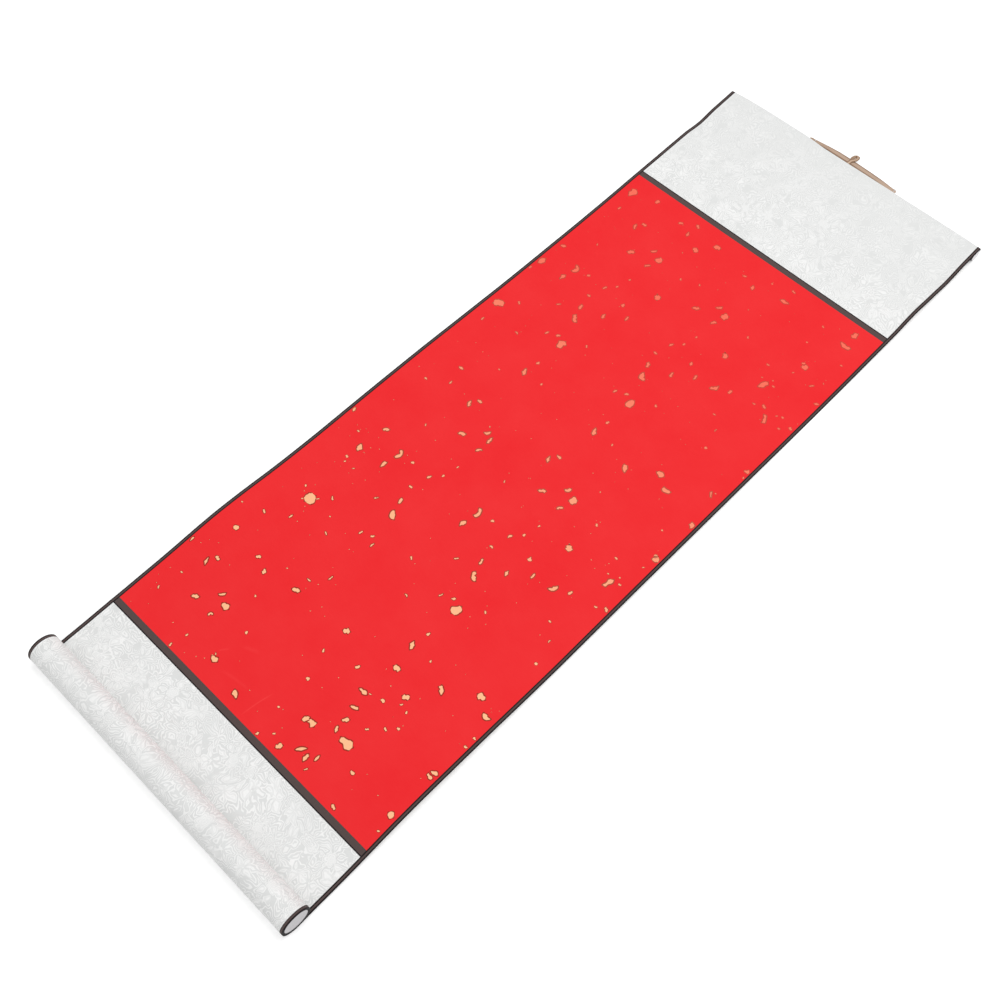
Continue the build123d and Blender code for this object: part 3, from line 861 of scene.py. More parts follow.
def woven_tape(name, face, edge, half_width):
    """Ribbed cotton tape: ribs across, warp threads along, dense dark edges, and painted shade on its lower
    face.
    """
    f = Finish(name)
    along, aside, level = f.lay()
    rib_pitch, warp_pitch, edge_start, edge_full = 0.38, 0.3, 1.4, 0.5
    ribs = (along * (math.pi / rib_pitch)).sin()
    warps = (aside * (math.pi / warp_pitch)).sin()
    fuzz = f.noise(f.together(along, aside, level), 0.8, 2.0)
    selvage = abs(aside).step(mm(half_width) - edge_start, mm(half_width) - edge_full)
    # Painted shade: the lower face of the tape takes most of the edge colour
    under = level.step(0.1, -0.2)
    # Darker over the first 34 mm along the tape, and in long random patches
    darker_start_and_patches = along.step(34, 0) * 0.4 + (f.noise(f.together(along, 0.0, 0.0), 16, 0.0) - 0.5) * 0.5
    share = selvage.most(under * 0.8) * 0.85 + (fuzz - 0.5) * 0.3 + ribs * 0.05 + darker_start_and_patches
    surface = f.blend(share.kept(), face, edge)
    return f.close(
        surface, ribs * 0.6 + warps * 0.25 + fuzz * 0.3, 0.07, Roughness=0.85, Specular_IOR_Level=0.2,
        Sheen_Weight=0.15,
    )


def staple_wire(colours):
    """Drawn steel: long fine scratches that change the gloss."""
    f = Finish("staple_wire")
    x, y, z = f.place()
    lines = f.noise(f.together(x * 3, y * 0.2, z * 3), 0.4, 2.0)
    dark = [channel * 0.6 for channel in colours.staple]
    surface = f.blend(lines, colours.staple, dark)
    return f.close(surface, lines, 0.02, Roughness=0.28 + lines * 0.2, Metallic=0.6)


# Operators


def colours_of(context):
    """The colours that the user has set."""
    return context.scene.scroll_colours


def lie_of(context):
    """The sheet's lie, from the sizes that the user has set."""
    return SheetLie(context.scene.scroll_sheet)


class SCROLL_OT_backing_paper(Operator):
    """Makes the backing paper, one sheet from the roller to the flap behind the batten"""

    bl_idname = "scroll.backing_paper"
    bl_label = "Backing paper"

    def execute(self, context):
        lie = lie_of(context)
        material = backing_paper(colours_of(context))
        half = lie.half_width - lie.sizes.binding
        piece = flat_layer(lie, "backing_sheet", 0, lie.end, lie.under_backing, 0, half, material)
        tell(piece, "backing_paper", "backing_paper")
        return {"FINISHED"}


class SCROLL_OT_silk(Operator):
    """Makes the silk panels over and under the paper, and the silk round the roller"""

    bl_idname = "scroll.silk"
    bl_label = "Damask silk"

    def execute(self, context):
        lie = lie_of(context)
        material = damask_silk(colours_of(context), lie)
        half = lie.face_half_width
        face = lie.sizes.face
        cover_half = lie.half_width - lie.sizes.binding_turn_in
        under = lie.under_backing
        for name, node, start, end, low, high, reach in (
            ("silk_bottom", "bottom_silk", 0, lie.bottom_strip, 0, face, half),
            ("silk_top", "top_silk", lie.top_silk, lie.end, 0, face, half),
            ("silk_cover", "roller_cover", 0, lie.cover_end, lie.under_binding, under, cover_half),
        ):
            piece = flat_layer(lie, name, start, end, low, high, reach, material)
            tell(piece, "damask_silk", node)
        return {"FINISHED"}


class SCROLL_OT_strips(Operator):
    """Makes the brown strips between the silk and the red paper"""

    bl_idname = "scroll.strips"
    bl_label = "Brown strips"

    def execute(self, context):
        lie = lie_of(context)
        for name, node, start, end, folded in (
            ("strip_bottom", "bottom_strip", lie.bottom_strip, lie.paper, lie.bottom_strip),
            ("strip_top", "top_strip", lie.top_strip, lie.top_silk, lie.top_silk),
        ):
            material = brown_cloth(colours_of(context), name, lambda u, v, edge=mm(folded): abs(v - edge))
            piece = flat_layer(lie, name, start, end, 0, lie.sizes.face, lie.face_half_width, material)
            tell(piece, "brown_cloth", node)
        return {"FINISHED"}


class SCROLL_OT_red_paper(Operator):
    """Makes the red paper"""

    bl_idname = "scroll.red_paper"
    bl_label = "Red paper"

    def execute(self, context):
        lie = lie_of(context)
        material = red_paper(colours_of(context), lie)
        piece = flat_layer(
            lie, "paper_red", lie.paper, lie.top_strip, 0, lie.sizes.face, lie.face_half_width, material
        )
        tell(piece, "red_paper", "red_paper")
        return {"FINISHED"}


# The print's flecks: distance across from the middle, distance up the paper from its lower end and half
# length, all in millimetres, how wide for its length, lean in degrees, and where it has them, bend in degrees
# and tail. This is the block that repeats
PRINT_BLOCK = (
    (68.4, 128.1, 3.5, 0.75, 10), (111.3, 141, 4.5, 0.5, -48, 0, 0.4), (156.6, 151.2, 4.4, 0.48, 0, 80),
    (140.5, 161.2, 4, 0.78, 5, 0, 0.2), (61.8, 152.8, 4.3, 0.48, 112, 0, 0.4), (84.8, 153.6, 1.4, 0.6, 110),
    (64, 171, 2, 0.6, 80), (21.7, 183.8, 2.1, 0.3, -15, -70), (64.6, 205.9, 5.5, 0.72, 80),
    (43.9, 206.7, 2.3, 0.35, 75, 20), (54.8, 212.2, 2.2, 0.55, 45), (152.7, 218.5, 1.5, 0.85, 0),
    (85.1, 222.7, 1.7, 0.6, 135, 0, 0.3), (52.3, 241.7, 5.4, 0.42, 134, -85, 0.2),
    (27.2, 243.3, 2.3, 0.28, 48, 20), (46.1, 257, 3.3, 0.42, 108, 25),
    (71.6, 264.7, 3.1, 0.42, 103, -30, 0.2), (133.5, 257.1, 1.5, 0.5, 0), (90.9, 279.6, 3, 0.35, 97),
    (113, 283.5, 5, 0.42, 58, 75, 0.45), (5.2, 273.8, 3.8, 0.55, -97, 20, 0.5),
    (42.1, 274.6, 2.1, 0.48, 0, -20), (7.6, 291.9, 6.4, 0.28, 99, 150), (23.9, 294.8, 1.8, 0.8, 30),
    (47.2, 294.6, 2.5, 0.42, 70, -40), (77, 290.3, 2.3, 0.75, 110, 0, 0.3),
    (127.6, 290.9, 2.5, 0.6, 82, 0, 0.3), (55.9, 304.8, 1.6, 0.6, 85), (59.3, 321.4, 1.4, 0.55, 80),
    (163.2, 301.2, 2.6, 0.55, -35), (153.7, 296.8, 1.6, 0.5, 15, 30), (146.4, 242.5, 1.7, 0.25, 90, -80),
    (95.5, 323.8, 3.4, 0.85, 125, 0, 0.1), (93.1, 327, 1.2, 0.35, 130, 0, 0.4),
    (145.8, 322.8, 5.9, 0.4, 70, 30, -0.1), (154.7, 328.5, 1.5, 0.8, 0), (139.5, 329.5, 1, 0.6, 0),
    (150, 334, 0.9, 0.7, 0), (158.6, 357.1, 1.2, 0.5, 50), (134.2, 346.6, 1.7, 0.5, -5, -20),
    (2, 333.8, 1.5, 0.4, 120), (35.1, 351.5, 3.7, 0.5, 35), (60.4, 349.4, 3.2, 0.36, 52, -80),
    (52.2, 369.8, 3.4, 0.38, 50, 75), (63.9, 364.1, 3.9, 0.92, 45), (97.8, 360.2, 1.6, 0.7, 125),
    (163, 371.5, 3.4, 0.85, 40), (159.3, 374.2, 1.9, 0.8, 30), (15.2, 381.8, 3.6, 0.33, 113, -25),
    (20.8, 391, 2.7, 0.55, 0, 60), (76, 389.5, 0.9, 0.5, 120), (145.7, 399, 1.1, 0.8, 0),
)
# Where the block lies again: its move across, its move up, its stretch, and the part of the paper that takes
# it, from left to right and from low to high
PRINT_MOVES = (
    (0, 0, 1, -3, 168, 123, 402), (-101, -7.5, 1, -168, -38, 210, 402),
    (-36.5, 292, 0.95, -4, 168, 415, 697), (-135.5, 291.9, 0.978, -168, -35, 425, 697),
)
# Flecks that lie outside those parts
PRINT_REST = (
    (159.9, 34, 2.9, 0.9, 0), (159.8, 79.6, 3.1, 0.48, -10, 70), (160.6, 84, 3.4, 0.46, 12, -30),
    (-16.9, 13, 4.1, 0.62, -33, 0, 0.4), (-55.6, 21.5, 3.8, 0.78, 0), (-58.4, 25.3, 1.3, 0.35, 135, 0, 0.4),
    (46.6, 8.3, 3.2, 0.72, 60, 0, -0.1), (62.4, 19.9, 5, 0.34, 48, 0, 0.45),
    (70.7, 17.6, 3.7, 0.38, 98, -20, -0.3), (78.4, 24, 3.1, 0.28, 90), (78.4, 11, 1.9, 0.42, 65),
    (34.9, 12.8, 1.4, 0.6, 45), (24, 2.4, 1.9, 0.6, 65), (20, 31.4, 1.2, 0.7, 30),
    (45.4, 40.8, 3.5, 0.8, 60), (51.8, 41.7, 3.9, 0.75, -15), (87, 50.4, 7.2, 0.41, 3, 35, -0.45),
    (71.8, 52.9, 3.1, 0.36, 117), (71.4, 63.8, 3.3, 0.5, 45), (68.6, 76.7, 3.8, 0.36, 18, -35),
    (63.2, 92.1, 4.4, 0.42, 183, 0, 0.35), (69.5, 94.7, 1.3, 0.4, 20, -60), (81.8, 97.9, 2.1, 0.75, -20),
    (94, 114.4, 3.3, 0.8, 20), (42.8, 104.4, 2.4, 0.55, 65), (104.3, 105, 1.5, 0.65, 120),
    (10.1, 121, 3.3, 0.75, 30), (9.5, 93.8, 1.9, 0.5, 125), (19.3, 66.3, 1.8, 0.8, 0),
    (110, 36.6, 2.3, 0.6, 0, 50), (91, 70.9, 1.8, 0.5, 50), (102.4, 81.9, 2, 0.45, -28),
    (110.1, 90, 1.6, 0.8, 0), (96.1, 107.1, 1.6, 0.55, 55), (119.5, 5.2, 2.7, 0.5, -20),
    (163.8, 119.1, 1.8, 0.7, 20), (165, 129.5, 1.6, 0.7, 0), (162, 17.7, 1.4, 0.4, 35),
    (-87.4, 61.1, 4.2, 0.92, 0), (-98.9, 67, 3.5, 0.45, 50, 60), (-91.2, 46.6, 2.9, 0.34, 53, -160),
    (-115.5, 48.5, 3.7, 0.5, 35), (-53.4, 57.5, 1.7, 0.7, 120), (-135.8, 78.6, 3.9, 0.3, 114, -25),
    (-130.5, 87.9, 2.8, 0.6, 0, 60), (-88.4, 108.4, 2.9, 0.7, 120, 0, 0.3), (-103.8, 114.8, 2.6, 0.6, 35),
    (-142.4, 120.4, 2.8, 0.85, 60), (-53, 116.3, 3.9, 0.55, 25), (-95.4, 3, 1.9, 0.55, 95),
    (-91.6, 19, 1.5, 0.55, 80), (-148, 31.2, 1.8, 0.5, 125), (-144.2, 55.5, 1.4, 0.45, 0),
    (-164.6, 84, 2.6, 0.33, 95), (-75.1, 86.6, 1.3, 0.5, -38), (-75.9, 125.5, 1, 0.6, 30),
    (-52.5, 131.5, 2.2, 0.3, 0), (-40, 147, 2.6, 0.25, 88, 10), (-118, 190.8, 5.8, 0.86, 75),
    (-112.5, 195.8, 1.6, 0.4, 50), (-123.3, 185.5, 1.2, 0.6, 45), (-103.3, 206.2, 2.3, 0.42, -40),
    (-78.6, 175.8, 2.2, 0.4, -28, -30), (-127.2, 263.2, 4.1, 0.75, 110, 0, 0.2),
    (-137.5, 150.3, 2.4, 0.4, -32), (-160.2, 142.5, 1.1, 0.7, 0), (-115.8, 164.7, 2.3, 0.4, 88),
    (-131.8, 197.7, 1.5, 0.6, -45), (-89.7, 190.8, 1, 0.6, 0), (-56.5, 199.7, 2.3, 0.4, 80),
    (-45.7, 204.7, 2, 0.5, 60), (-39, 197.8, 2.5, 0.25, 88), (-128.3, 248, 1.6, 0.8, -30),
    (-125.7, 242.7, 1.2, 0.6, 60), (-113.7, 242.8, 1.4, 0.35, 45), (-141.8, 275.3, 1.5, 0.5, 10),
    (-3, 214.2, 2, 0.45, -35), (-40.8, 357.2, 3.8, 0.33, 93), (-123, 295.5, 3.3, 0.45, 35, 30),
    (-164.2, 289.7, 2.6, 0.45, 112), (-138.8, 365.3, 1.8, 0.5, -10), (-117.5, 379.5, 2.1, 0.35, 95),
    (-122.5, 399.5, 2.7, 0.38, 3), (-51.8, 368.7, 1.1, 0.5, -40), (-93.8, 425.3, 1.1, 0.7, 0),
    (-151.8, 460.3, 2.1, 0.35, 95), (-154.3, 487, 5.8, 0.92, 45), (-139.3, 502.2, 2.1, 0.45, -38),
    (-164.2, 545.3, 2, 0.5, 100), (-162.9, 560.5, 4.8, 0.55, 80), (-158.5, 591.3, 2.8, 0.5, 30),
    (-150.2, 673.2, 2.2, 0.35, 85), (-18.3, 652, 1.5, 0.45, -45), (-154.3, 699.5, 6, 0.62, 88),
    (-125.5, 708.3, 2.7, 0.75, 85), (-87.2, 702.8, 2.5, 0.6, 45), (-70.3, 711.5, 2.7, 0.6, -30),
    (-51.7, 685, 3.3, 0.7, -10), (-36.7, 703.3, 3.7, 0.65, 25), (-71.8, 696.2, 3, 0.55, 110, 0, 0.3),
    (9, 693.7, 2.1, 0.55, 35), (24.7, 687.5, 2.9, 0.55, 115, 0, 0.4), (60.5, 695.8, 4.6, 0.4, 10, 0, 0.35),
    (59.7, 712.5, 2.2, 0.5, -10), (140.5, 694, 6.2, 0.36, -2, 55), (140.2, 710.8, 4, 0.6, 75),
    (109.5, 697.7, 1.5, 0.6, -40), (36.5, 705.5, 1.1, 0.7, 0), (163.2, 422.5, 3.4, 0.6, 115, 50),
    (153.8, 461.7, 3.3, 0.22, 122, -40), (156.3, 465.5, 0.9, 0.7, 0), (165, 498, 1.2, 0.6, 120),
    (164.2, 505.8, 2.6, 0.6, 25, 0, -0.4), (135.7, 566.5, 5.6, 0.34, 115, 90), (153.5, 567.5, 1.5, 0.7, 20),
    (161.8, 575.3, 2, 0.8, 0), (142.7, 578, 1.2, 0.5, 50), (148, 580.8, 1.4, 0.8, 0),
    (163.8, 617, 2.4, 0.5, 25), (145.5, 631.3, 2.4, 0.4, 48), (152.5, 641.7, 1.1, 0.4, -45),
    (152.2, 671.7, 1.3, 0.7, 0),
)


class SCROLL_OT_gold_flecks(Operator):
    """Lays the gold flecks on the red paper, from the print's repeating block and the flecks round it"""

    bl_idname = "scroll.gold_flecks"
    bl_label = "Gold flecks"

    def execute(self, context):
        lie = lie_of(context)
        sizes = context.scene.scroll_flecks
        rows = list(PRINT_REST)
        for across, up, stretch, left, right, low, high in PRINT_MOVES:
            for u, v, *rest in PRINT_BLOCK:
                u, v = u + across, v * stretch + up
                if left <= u < right and low <= v < high:
                    rows.append((u, v, *rest))
        rng = np.random.default_rng(sizes.seed)
        units = [MILLIMETRE] * 3 + [1, math.radians(1), math.radians(1), 1]
        flecks = np.array([row + (0,) * (len(units) - len(row)) for row in rows]) * units
        # Specks between them, with random places, half lengths, widths for that and leans
        dust = np.zeros((sizes.dust_count, len(units)))
        dust[:, 0] = rng.uniform(-1, 1, len(dust)) * (lie.face_half_width - 4 * sizes.dust_size)
        dust[:, 1] = rng.uniform(0.004, 0.996, len(dust)) * lie.sizes.paper_length
        dust[:, 2] = sizes.dust_size * rng.uniform(0.45, 1, len(dust))
        dust[:, 3] = rng.uniform(0.35, 0.9, len(dust))
        dust[:, 4] = rng.uniform(0, np.pi, len(dust))
        points, lay, rim, faces = self.flakes(np.concatenate([flecks, dust]), lie, sizes, rng)
        material = gold_leaf(colours_of(context), lie)
        piece = make_piece("flecks_gold", points, faces, material, sharp=60, lay=lay, rim=rim)
        tell(piece, "gold_leaf", "gold_flecks")
        return {"FINISHED"}

    @staticmethod
    def torn(flecks, rim_width, steps, rng):
        """Places across and up of torn flakes: a bent middle line with a width that swells as (1 - t^2) to a
        random power, thins towards a tail, and is made ragged on each side by straight cuts between random
        corners. Five lanes run along it, and the outer ones and both ends are a narrow border for the rim."""
        knots = 6
        shrink, straight, on_border, blunt_end, uneven = 0.95, 0.02, 1.0001, 0.4, 0.08
        u, v, half, slim, lean, bend, tail = (flecks[:, k, None] for k in range(7))
        half = half * shrink
        border = np.minimum(rim_width, 0.35 * half + 0.0001)
        past = 1 + border / half
        t = np.concatenate([-past, np.tile(np.linspace(-1, 1, steps - 2), half.shape), past], 1)
        swing = np.where(abs(bend) < straight, straight, bend)
        radius = 2 * half / swing
        line = np.stack([radius * np.sin(t * swing / 2), radius * (1 - np.cos(t * swing / 2))], -1)
        line[..., 1] -= line[..., 1].mean(1, keepdims=True)
        normal = np.stack([-np.sin(t * swing / 2), np.cos(t * swing / 2)], -1)
        thin = 1 - tail * np.clip(t * 1.6, 0, 1)
        blunt = rng.uniform(0.2, 0.6, half.shape)
        wide = half * slim * np.maximum(1 - t * t, 0) ** blunt * thin
        corner = rng.uniform(0, 1, (2, len(flecks), knots)) * (1.35 - 0.5 * slim) + 0.1 + 0.35 * slim
        at = np.linspace(0, knots - 1, steps)
        first = np.minimum(at.astype(int), knots - 2)
        ragged = corner[..., first] * (1 - at + first) + corner[..., first + 1] * (at - first)
        near, far = wide * (ragged + rng.uniform(-uneven, uneven, ragged.shape))
        round_end = np.where(abs(t) > on_border, blunt_end, 1) * border
        reach = np.stack([-near - round_end, -near, 0 * t, far, far + round_end], -1)
        flat = line[:, :, None] + normal[:, :, None] * reach[..., None]
        turn = np.stack([np.cos(lean[:, 0]), np.sin(lean[:, 0])], -1)[:, None, None]
        across = u[..., None] + flat[..., 0] * turn[..., 0] - flat[..., 1] * turn[..., 1]
        up = v[..., None] + flat[..., 0] * turn[..., 1] + flat[..., 1] * turn[..., 0]
        return across, up

    def flakes(self, flecks, lie, sizes, rng):
        """Torn flakes that are moved inside the paper's edges, as closed slabs that follow the sheet. The rim
        is 1 on a flake's border and 0 inside."""
        steps = 15
        across, up = self.torn(flecks, sizes.rim_width, steps, rng)
        lanes = across.shape[-1]
        edge = lie.face_half_width - sizes.edge_margin
        over = np.maximum(across.max((1, 2)) - edge, 0) + np.minimum(across.min((1, 2)) + edge, 0)
        low = np.maximum(sizes.edge_margin - up.min((1, 2)), 0)
        high = np.minimum(lie.sizes.paper_length - sizes.edge_margin - up.max((1, 2)), 0)
        across = across - over[:, None, None]
        place = up + (low + high)[:, None, None] + lie.paper
        top = lie.sizes.face + sizes.thickness
        level = np.stack([np.full_like(across, height) for height in (top, lie.sizes.face)], 1)
        across, place = (np.repeat(value[:, None], 2, 1) for value in (across, place))
        points = lie.point(across, place, level)
        lay = np.stack([across, place, level], -1)
        rim = np.ones((steps, lanes))
        rim[1:-1, 1:-1] = 0
        rim = np.broadcast_to(rim, across.shape)
        faces = slab(steps, lanes) + np.arange(len(flecks))[:, None, None] * 2 * steps * lanes
        return points, lay, rim, faces.reshape(-1, 4)


class SCROLL_OT_bindings(Operator):
    """Makes the two brown bindings, each one strip folded over an edge of the sheet from end to end"""

    bl_idname = "scroll.bindings"
    bl_label = "Edge bindings"

    def execute(self, context):
        lie = lie_of(context)
        s = lie.sizes
        half = lie.half_width
        inner_edge, outer_edge = mm(half - s.binding_width), mm(half)
        material = brown_cloth(
            colours_of(context),
            "binding_cloth",
            lambda u, v: (abs(u) - inner_edge).least(outer_edge - abs(u)),
        )
        for name, node, side in (("binding_left", "left_binding", -1), ("binding_right", "right_binding", 1)):
            parts = [
                self.stretch(lie, name, side, 0, lie.lead_in, lie.under_binding, material),
                self.stretch(lie, name + "_end", side, lie.lead_in, lie.end, lie.under_backing, material),
            ]
            tell(joined(context, parts), "brown_cloth", node)
        return {"FINISHED"}

    @staticmethod
    def stretch(lie, name, side, start, end, lowest, material):
        """A stretch of binding: a leaf on the face, a fold with quarter rounds, and a leaf on the back where
        the lowest level is under the backing."""
        s = lie.sizes
        half, bend = lie.half_width, s.fold_radius
        quarter = np.linspace(0, QUARTER_TURN, 5)[:, None]
        upper = [half - bend, s.face - bend] + bend * np.concatenate([np.sin(quarter), np.cos(quarter)], 1)
        lower = [half - bend, lowest + bend] + bend * np.concatenate([np.cos(quarter), -np.sin(quarter)], 1)
        edge, held = half - s.binding_width, half - s.binding
        middle = (edge + half) / 2
        outer = [[edge, s.face], [middle, s.face], *upper]
        inner = [[edge, 0], [middle, 0], *[[held, 0]] * len(upper)]
        if lowest < lie.under_backing:
            back = half - s.binding_turn_in
            outer += [*lower, [back, lowest]]
            inner += [*[[held, lie.under_backing]] * len(lower), [back, lie.under_backing]]
        else:
            outer.append([half, lowest])
            inner.append([held, lowest])
        outer, inner = (np.array(outline) * (side, 1) for outline in (outer, inner))
        return sheet_layer(lie, name, start, end, outer, inner, material)


class SCROLL_OT_rods(Operator):
    """Gives the roller, the batten and their end patches their finishes"""

    bl_idname = "scroll.rods"
    bl_label = "Roller and batten"

    def execute(self, context):
        colours = colours_of(context)
        lie = lie_of(context)
        pine = pine_wood(colours)
        roller = centre_of("roller_dowel")
        batten = centre_of("top_batten")
        batten_half = lie.sizes.batten_width / 2
        dowel = lie.sizes.dowel_radius
        card = end_card(colours, "end_card", roller, dowel, rim_width=1.9, rise=2.3, face=colours.card)
        paper = end_card(
            colours, "end_paper", batten, batten_half, rim_width=0.5, rise=0, face=colours.end_paper
        )
        for material, *nodes in (
            (pine, "roller_dowel", "top_batten"), (card, "roller_cap_left", "roller_cap_right"),
            (paper, "batten_cap_left", "batten_cap_right"),
        ):
            for node in nodes:
                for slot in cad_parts[node].material_slots:
                    slot.material = material
        return {"FINISHED"}


def smooth_path(name, points):
    """Points of a smooth line that has the given points as its control points."""
    curve = bpy.data.curves.new(name, "CURVE")
    curve.dimensions = "3D"
    curve.resolution_u = 16
    spline = curve.splines.new("NURBS")
    spline.points.add(len(points) - 1)
    for point, at in zip(spline.points, points):
        point.co = (*at, 1.0)
    spline.order_u = 3
    spline.use_endpoint_u = True
    holder = bpy.data.objects.new(name, curve)
    bpy.context.scene.collection.objects.link(holder)
    mesh = bpy.data.meshes.new_from_object(holder)
    path = np.array([vertex.co[:] for vertex in mesh.vertices])
    bpy.data.objects.remove(holder)
    bpy.data.curves.remove(curve)
    bpy.data.meshes.remove(mesh)
    return path


def signed_power(values, exponent):
    """The size of each value to a power, with the value's sign."""
    return np.sign(values) * abs(values) ** exponent


def tape_along(name, path, side, up, half_width, half_thick, material, closed=False):
    """A tape along a path: a flattened ring, (cos a)^0.35 by (sin a)^0.6 with their signs kept, scaled by the
    half width along the side and by the half thickness along the upward way, which may change along it."""
    ring = np.linspace(0, 2 * np.pi, 20, endpoint=False)
    half_width, half_thick = (np.broadcast_to(size, len(path))[:, None] for size in (half_width, half_thick))
    aside, above = half_width * signed_power(np.cos(ring), 0.35), half_thick * signed_power(np.sin(ring), 0.6)
    points = path[:, None] + side[:, None] * aside[..., None] + up[:, None] * above[..., None]
    lay = np.stack([np.broadcast_to(run_along(path)[:, None], aside.shape), aside, above], -1)
    faces = quads(*aside.shape, around=True, closed=True) if closed else tube(*aside.shape)
    return make_piece(name, points, faces, material, sharp=50, lay=lay)


class SCROLL_OT_hanging(Operator):
    """Makes the hanging ribbon and the tie loop that rides on it"""

    bl_idname = "scroll.hanging"
    bl_label = "Ribbon and tie loop"

    def execute(self, context):
        ribbon = context.scene.scroll_ribbon
        colours = colours_of(context)
        # The tape is bunched at its left end: over this share of it, narrower by a share, and thicker
        bunched_share, squeeze, bulge = 0.32, 0.58, 0.0003
        # Its ends are rounded from just before them to just after them, and the folds end over a short run
        before_end, after_end, fold_end = -0.0008, 0.0015, 0.001
        low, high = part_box("hanging_ribbon")
        middle_z = (low.z + high.z) / 2
        line_y = high.y - ribbon.width / 2 - ribbon.bow
        control_bow = ribbon.bow * 1.1
        left, right = low.x - ribbon.tip, high.x - ribbon.end_tuck
        shares = np.array([0, 0.14, 0.35, 0.65, 0.86, 1])
        across = left + shares * (right - left)
        out = line_y + control_bow * 4 * shares * (1 - shares) + ribbon.skew * (1 - 0.85 * shares)
        route = [(x, y, middle_z) for x, y in zip(across, out)]
        path = smooth_path("ribbon_route", route)
        run = run_along(path)
        share = run / run[-1]
        ahead = unit(np.gradient(path, axis=0))
        level = np.cross([0.0, 0.0, 1.0], ahead)
        side = level * math.cos(ribbon.tilt) - np.array([0, 0, 1.0]) * math.sin(ribbon.tilt)
        up = np.cross(ahead, side)

        bunched = 1 - np.clip(share / bunched_share, 0, 1) ** 0.75
        half_width = ribbon.width / 2 * (1 - squeeze * bunched) * (1 - 0.1 * eased(share, 0.8, 1.0))
        inward = (ribbon.width / 2 - half_width)[:, None] * -level
        from_end = np.minimum(run, run[-1] - run)
        rounded = eased(from_end, before_end, after_end)
        folded = 1 - eased(from_end, ribbon.end_length - fold_end, ribbon.end_length)
        thick = ribbon.thickness + (ribbon.end_thickness - ribbon.thickness) * folded + bulge * bunched
        tape = woven_tape("tan_tape", colours.tape, colours.tape_edge_and_underside_shade, ribbon.width / 2)
        half_tuck = ribbon.tuck / 2 * 4 * share * (1 - share)
        tape_piece = tape_along(
            "ribbon_tape", path + inward * 0.8 - level * half_tuck[:, None], side, up,
            (half_width + half_tuck) * (0.5 + 0.5 * rounded), thick / 2 * (0.4 + 0.6 * rounded), tape,
        )
        tell(tape_piece, "tan_tape", "hanging_ribbon")
        loop_piece = self.loop(ribbon, colours, middle_z)
        return {"FINISHED"}

    @staticmethod
    def loop(ribbon, colours, middle_z):
        """A closed band round the ribbon. In side view it is a long oval, y by cosine and z by sine of the
        angle. Past the ribbon its two strands part sideways and meet again at the tip and leave a slit."""
        low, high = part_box("tie_loop")
        turn = np.linspace(0, 2 * np.pi, 72, endpoint=False)
        thick = ribbon.loop_thickness
        outer_y = high.y + ribbon.skew / 2
        reach, rise = (outer_y - low.y - thick) / 2, (high.z - low.z - thick) / 2
        out, over = np.cos(turn), np.sin(turn)

        free = eased(out, -0.35, 0.25)
        y = (low.y + outer_y) / 2 + reach * signed_power(out, 0.8)
        z = middle_z + rise * signed_power(over, 0.5) * (1 - 0.6 * free)
        parted = ribbon.loop_spread * free * (1 - eased(out, 0.6, 1))
        x = ribbon.loop_place + parted * signed_power(over, 0.6) + 0.0009 * out
        line = np.stack([x, y, z], -1)
        ahead = unit(np.roll(line, -1, 0) - np.roll(line, 1, 0))
        side = unit(np.array([1.0, 0.0, 0.0]) - ahead * ahead[:, :1])
        up = np.cross(ahead, side)
        band = ribbon.loop_band / 2 * (1 - 0.08 * free)
        tape = woven_tape("loop_tape", colours.loop, colours.tape_edge_and_underside_shade, ribbon.loop_band / 2)
        piece = tape_along("loop_tape", line, side, up, band, thick / 2, tape, closed=True)
        return tell(piece, "tan_tape", "tie_loop")


class SCROLL_OT_staples(Operator):
    """Makes the two flat wire staples that hold the ribbon on the batten"""

    bl_idname = "scroll.staples"
    bl_label = "Staples"

    def execute(self, context):
        ribbon = context.scene.scroll_ribbon
        material = staple_wire(colours_of(context))
        low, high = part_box("ribbon_staples")
        half_wire = ribbon.wire_width / 2
        inset = ribbon.wire_thickness / 2
        parts = []
        # Place across and outer end of each staple
        for name, x, far in (
            ("staple_wires", high.x - half_wire, high.y - ribbon.width * 0.25 + ribbon.skew * 0.15),
            ("staple_left", low.x + half_wire, high.y - ribbon.width * 0.6 + ribbon.skew),
        ):
            corners = [(low.y, low.z), (low.y, high.z), (far, high.z), (far, low.z)]
            inward = [(1, 0), (1, -1), (-1, -1), (-1, 0)]
            route = [(x, y + dy * inset, z + dz * inset) for (y, z), (dy, dz) in zip(corners, inward)]
            path = smooth_path(name, [route[0], route[1], route[1], route[2], route[2], route[3]])
            ahead = unit(np.gradient(path, axis=0))
            side = np.tile([1.0, 0.0, 0.0], (len(path), 1))
            parts.append(tape_along(name, path, side, np.cross(ahead, side), half_wire, inset, material))
        tell(joined(context, parts), "staple_wire", "ribbon_staples")
        return {"FINISHED"}


def lamp(name, kind, location, **settings):
    """A lamp that looks from its location, in metres, at the middle of the scroll."""
    light = bpy.data.lights.new(name, kind)
    for key, value in settings.items():
        setattr(light, key, value)
    holder = bpy.data.objects.new(name, light)
    bpy.context.scene.collection.objects.link(holder)
    holder.location = location
    holder.rotation_euler = (-Vector(location)).to_track_quat("-Z", "Y").to_euler()


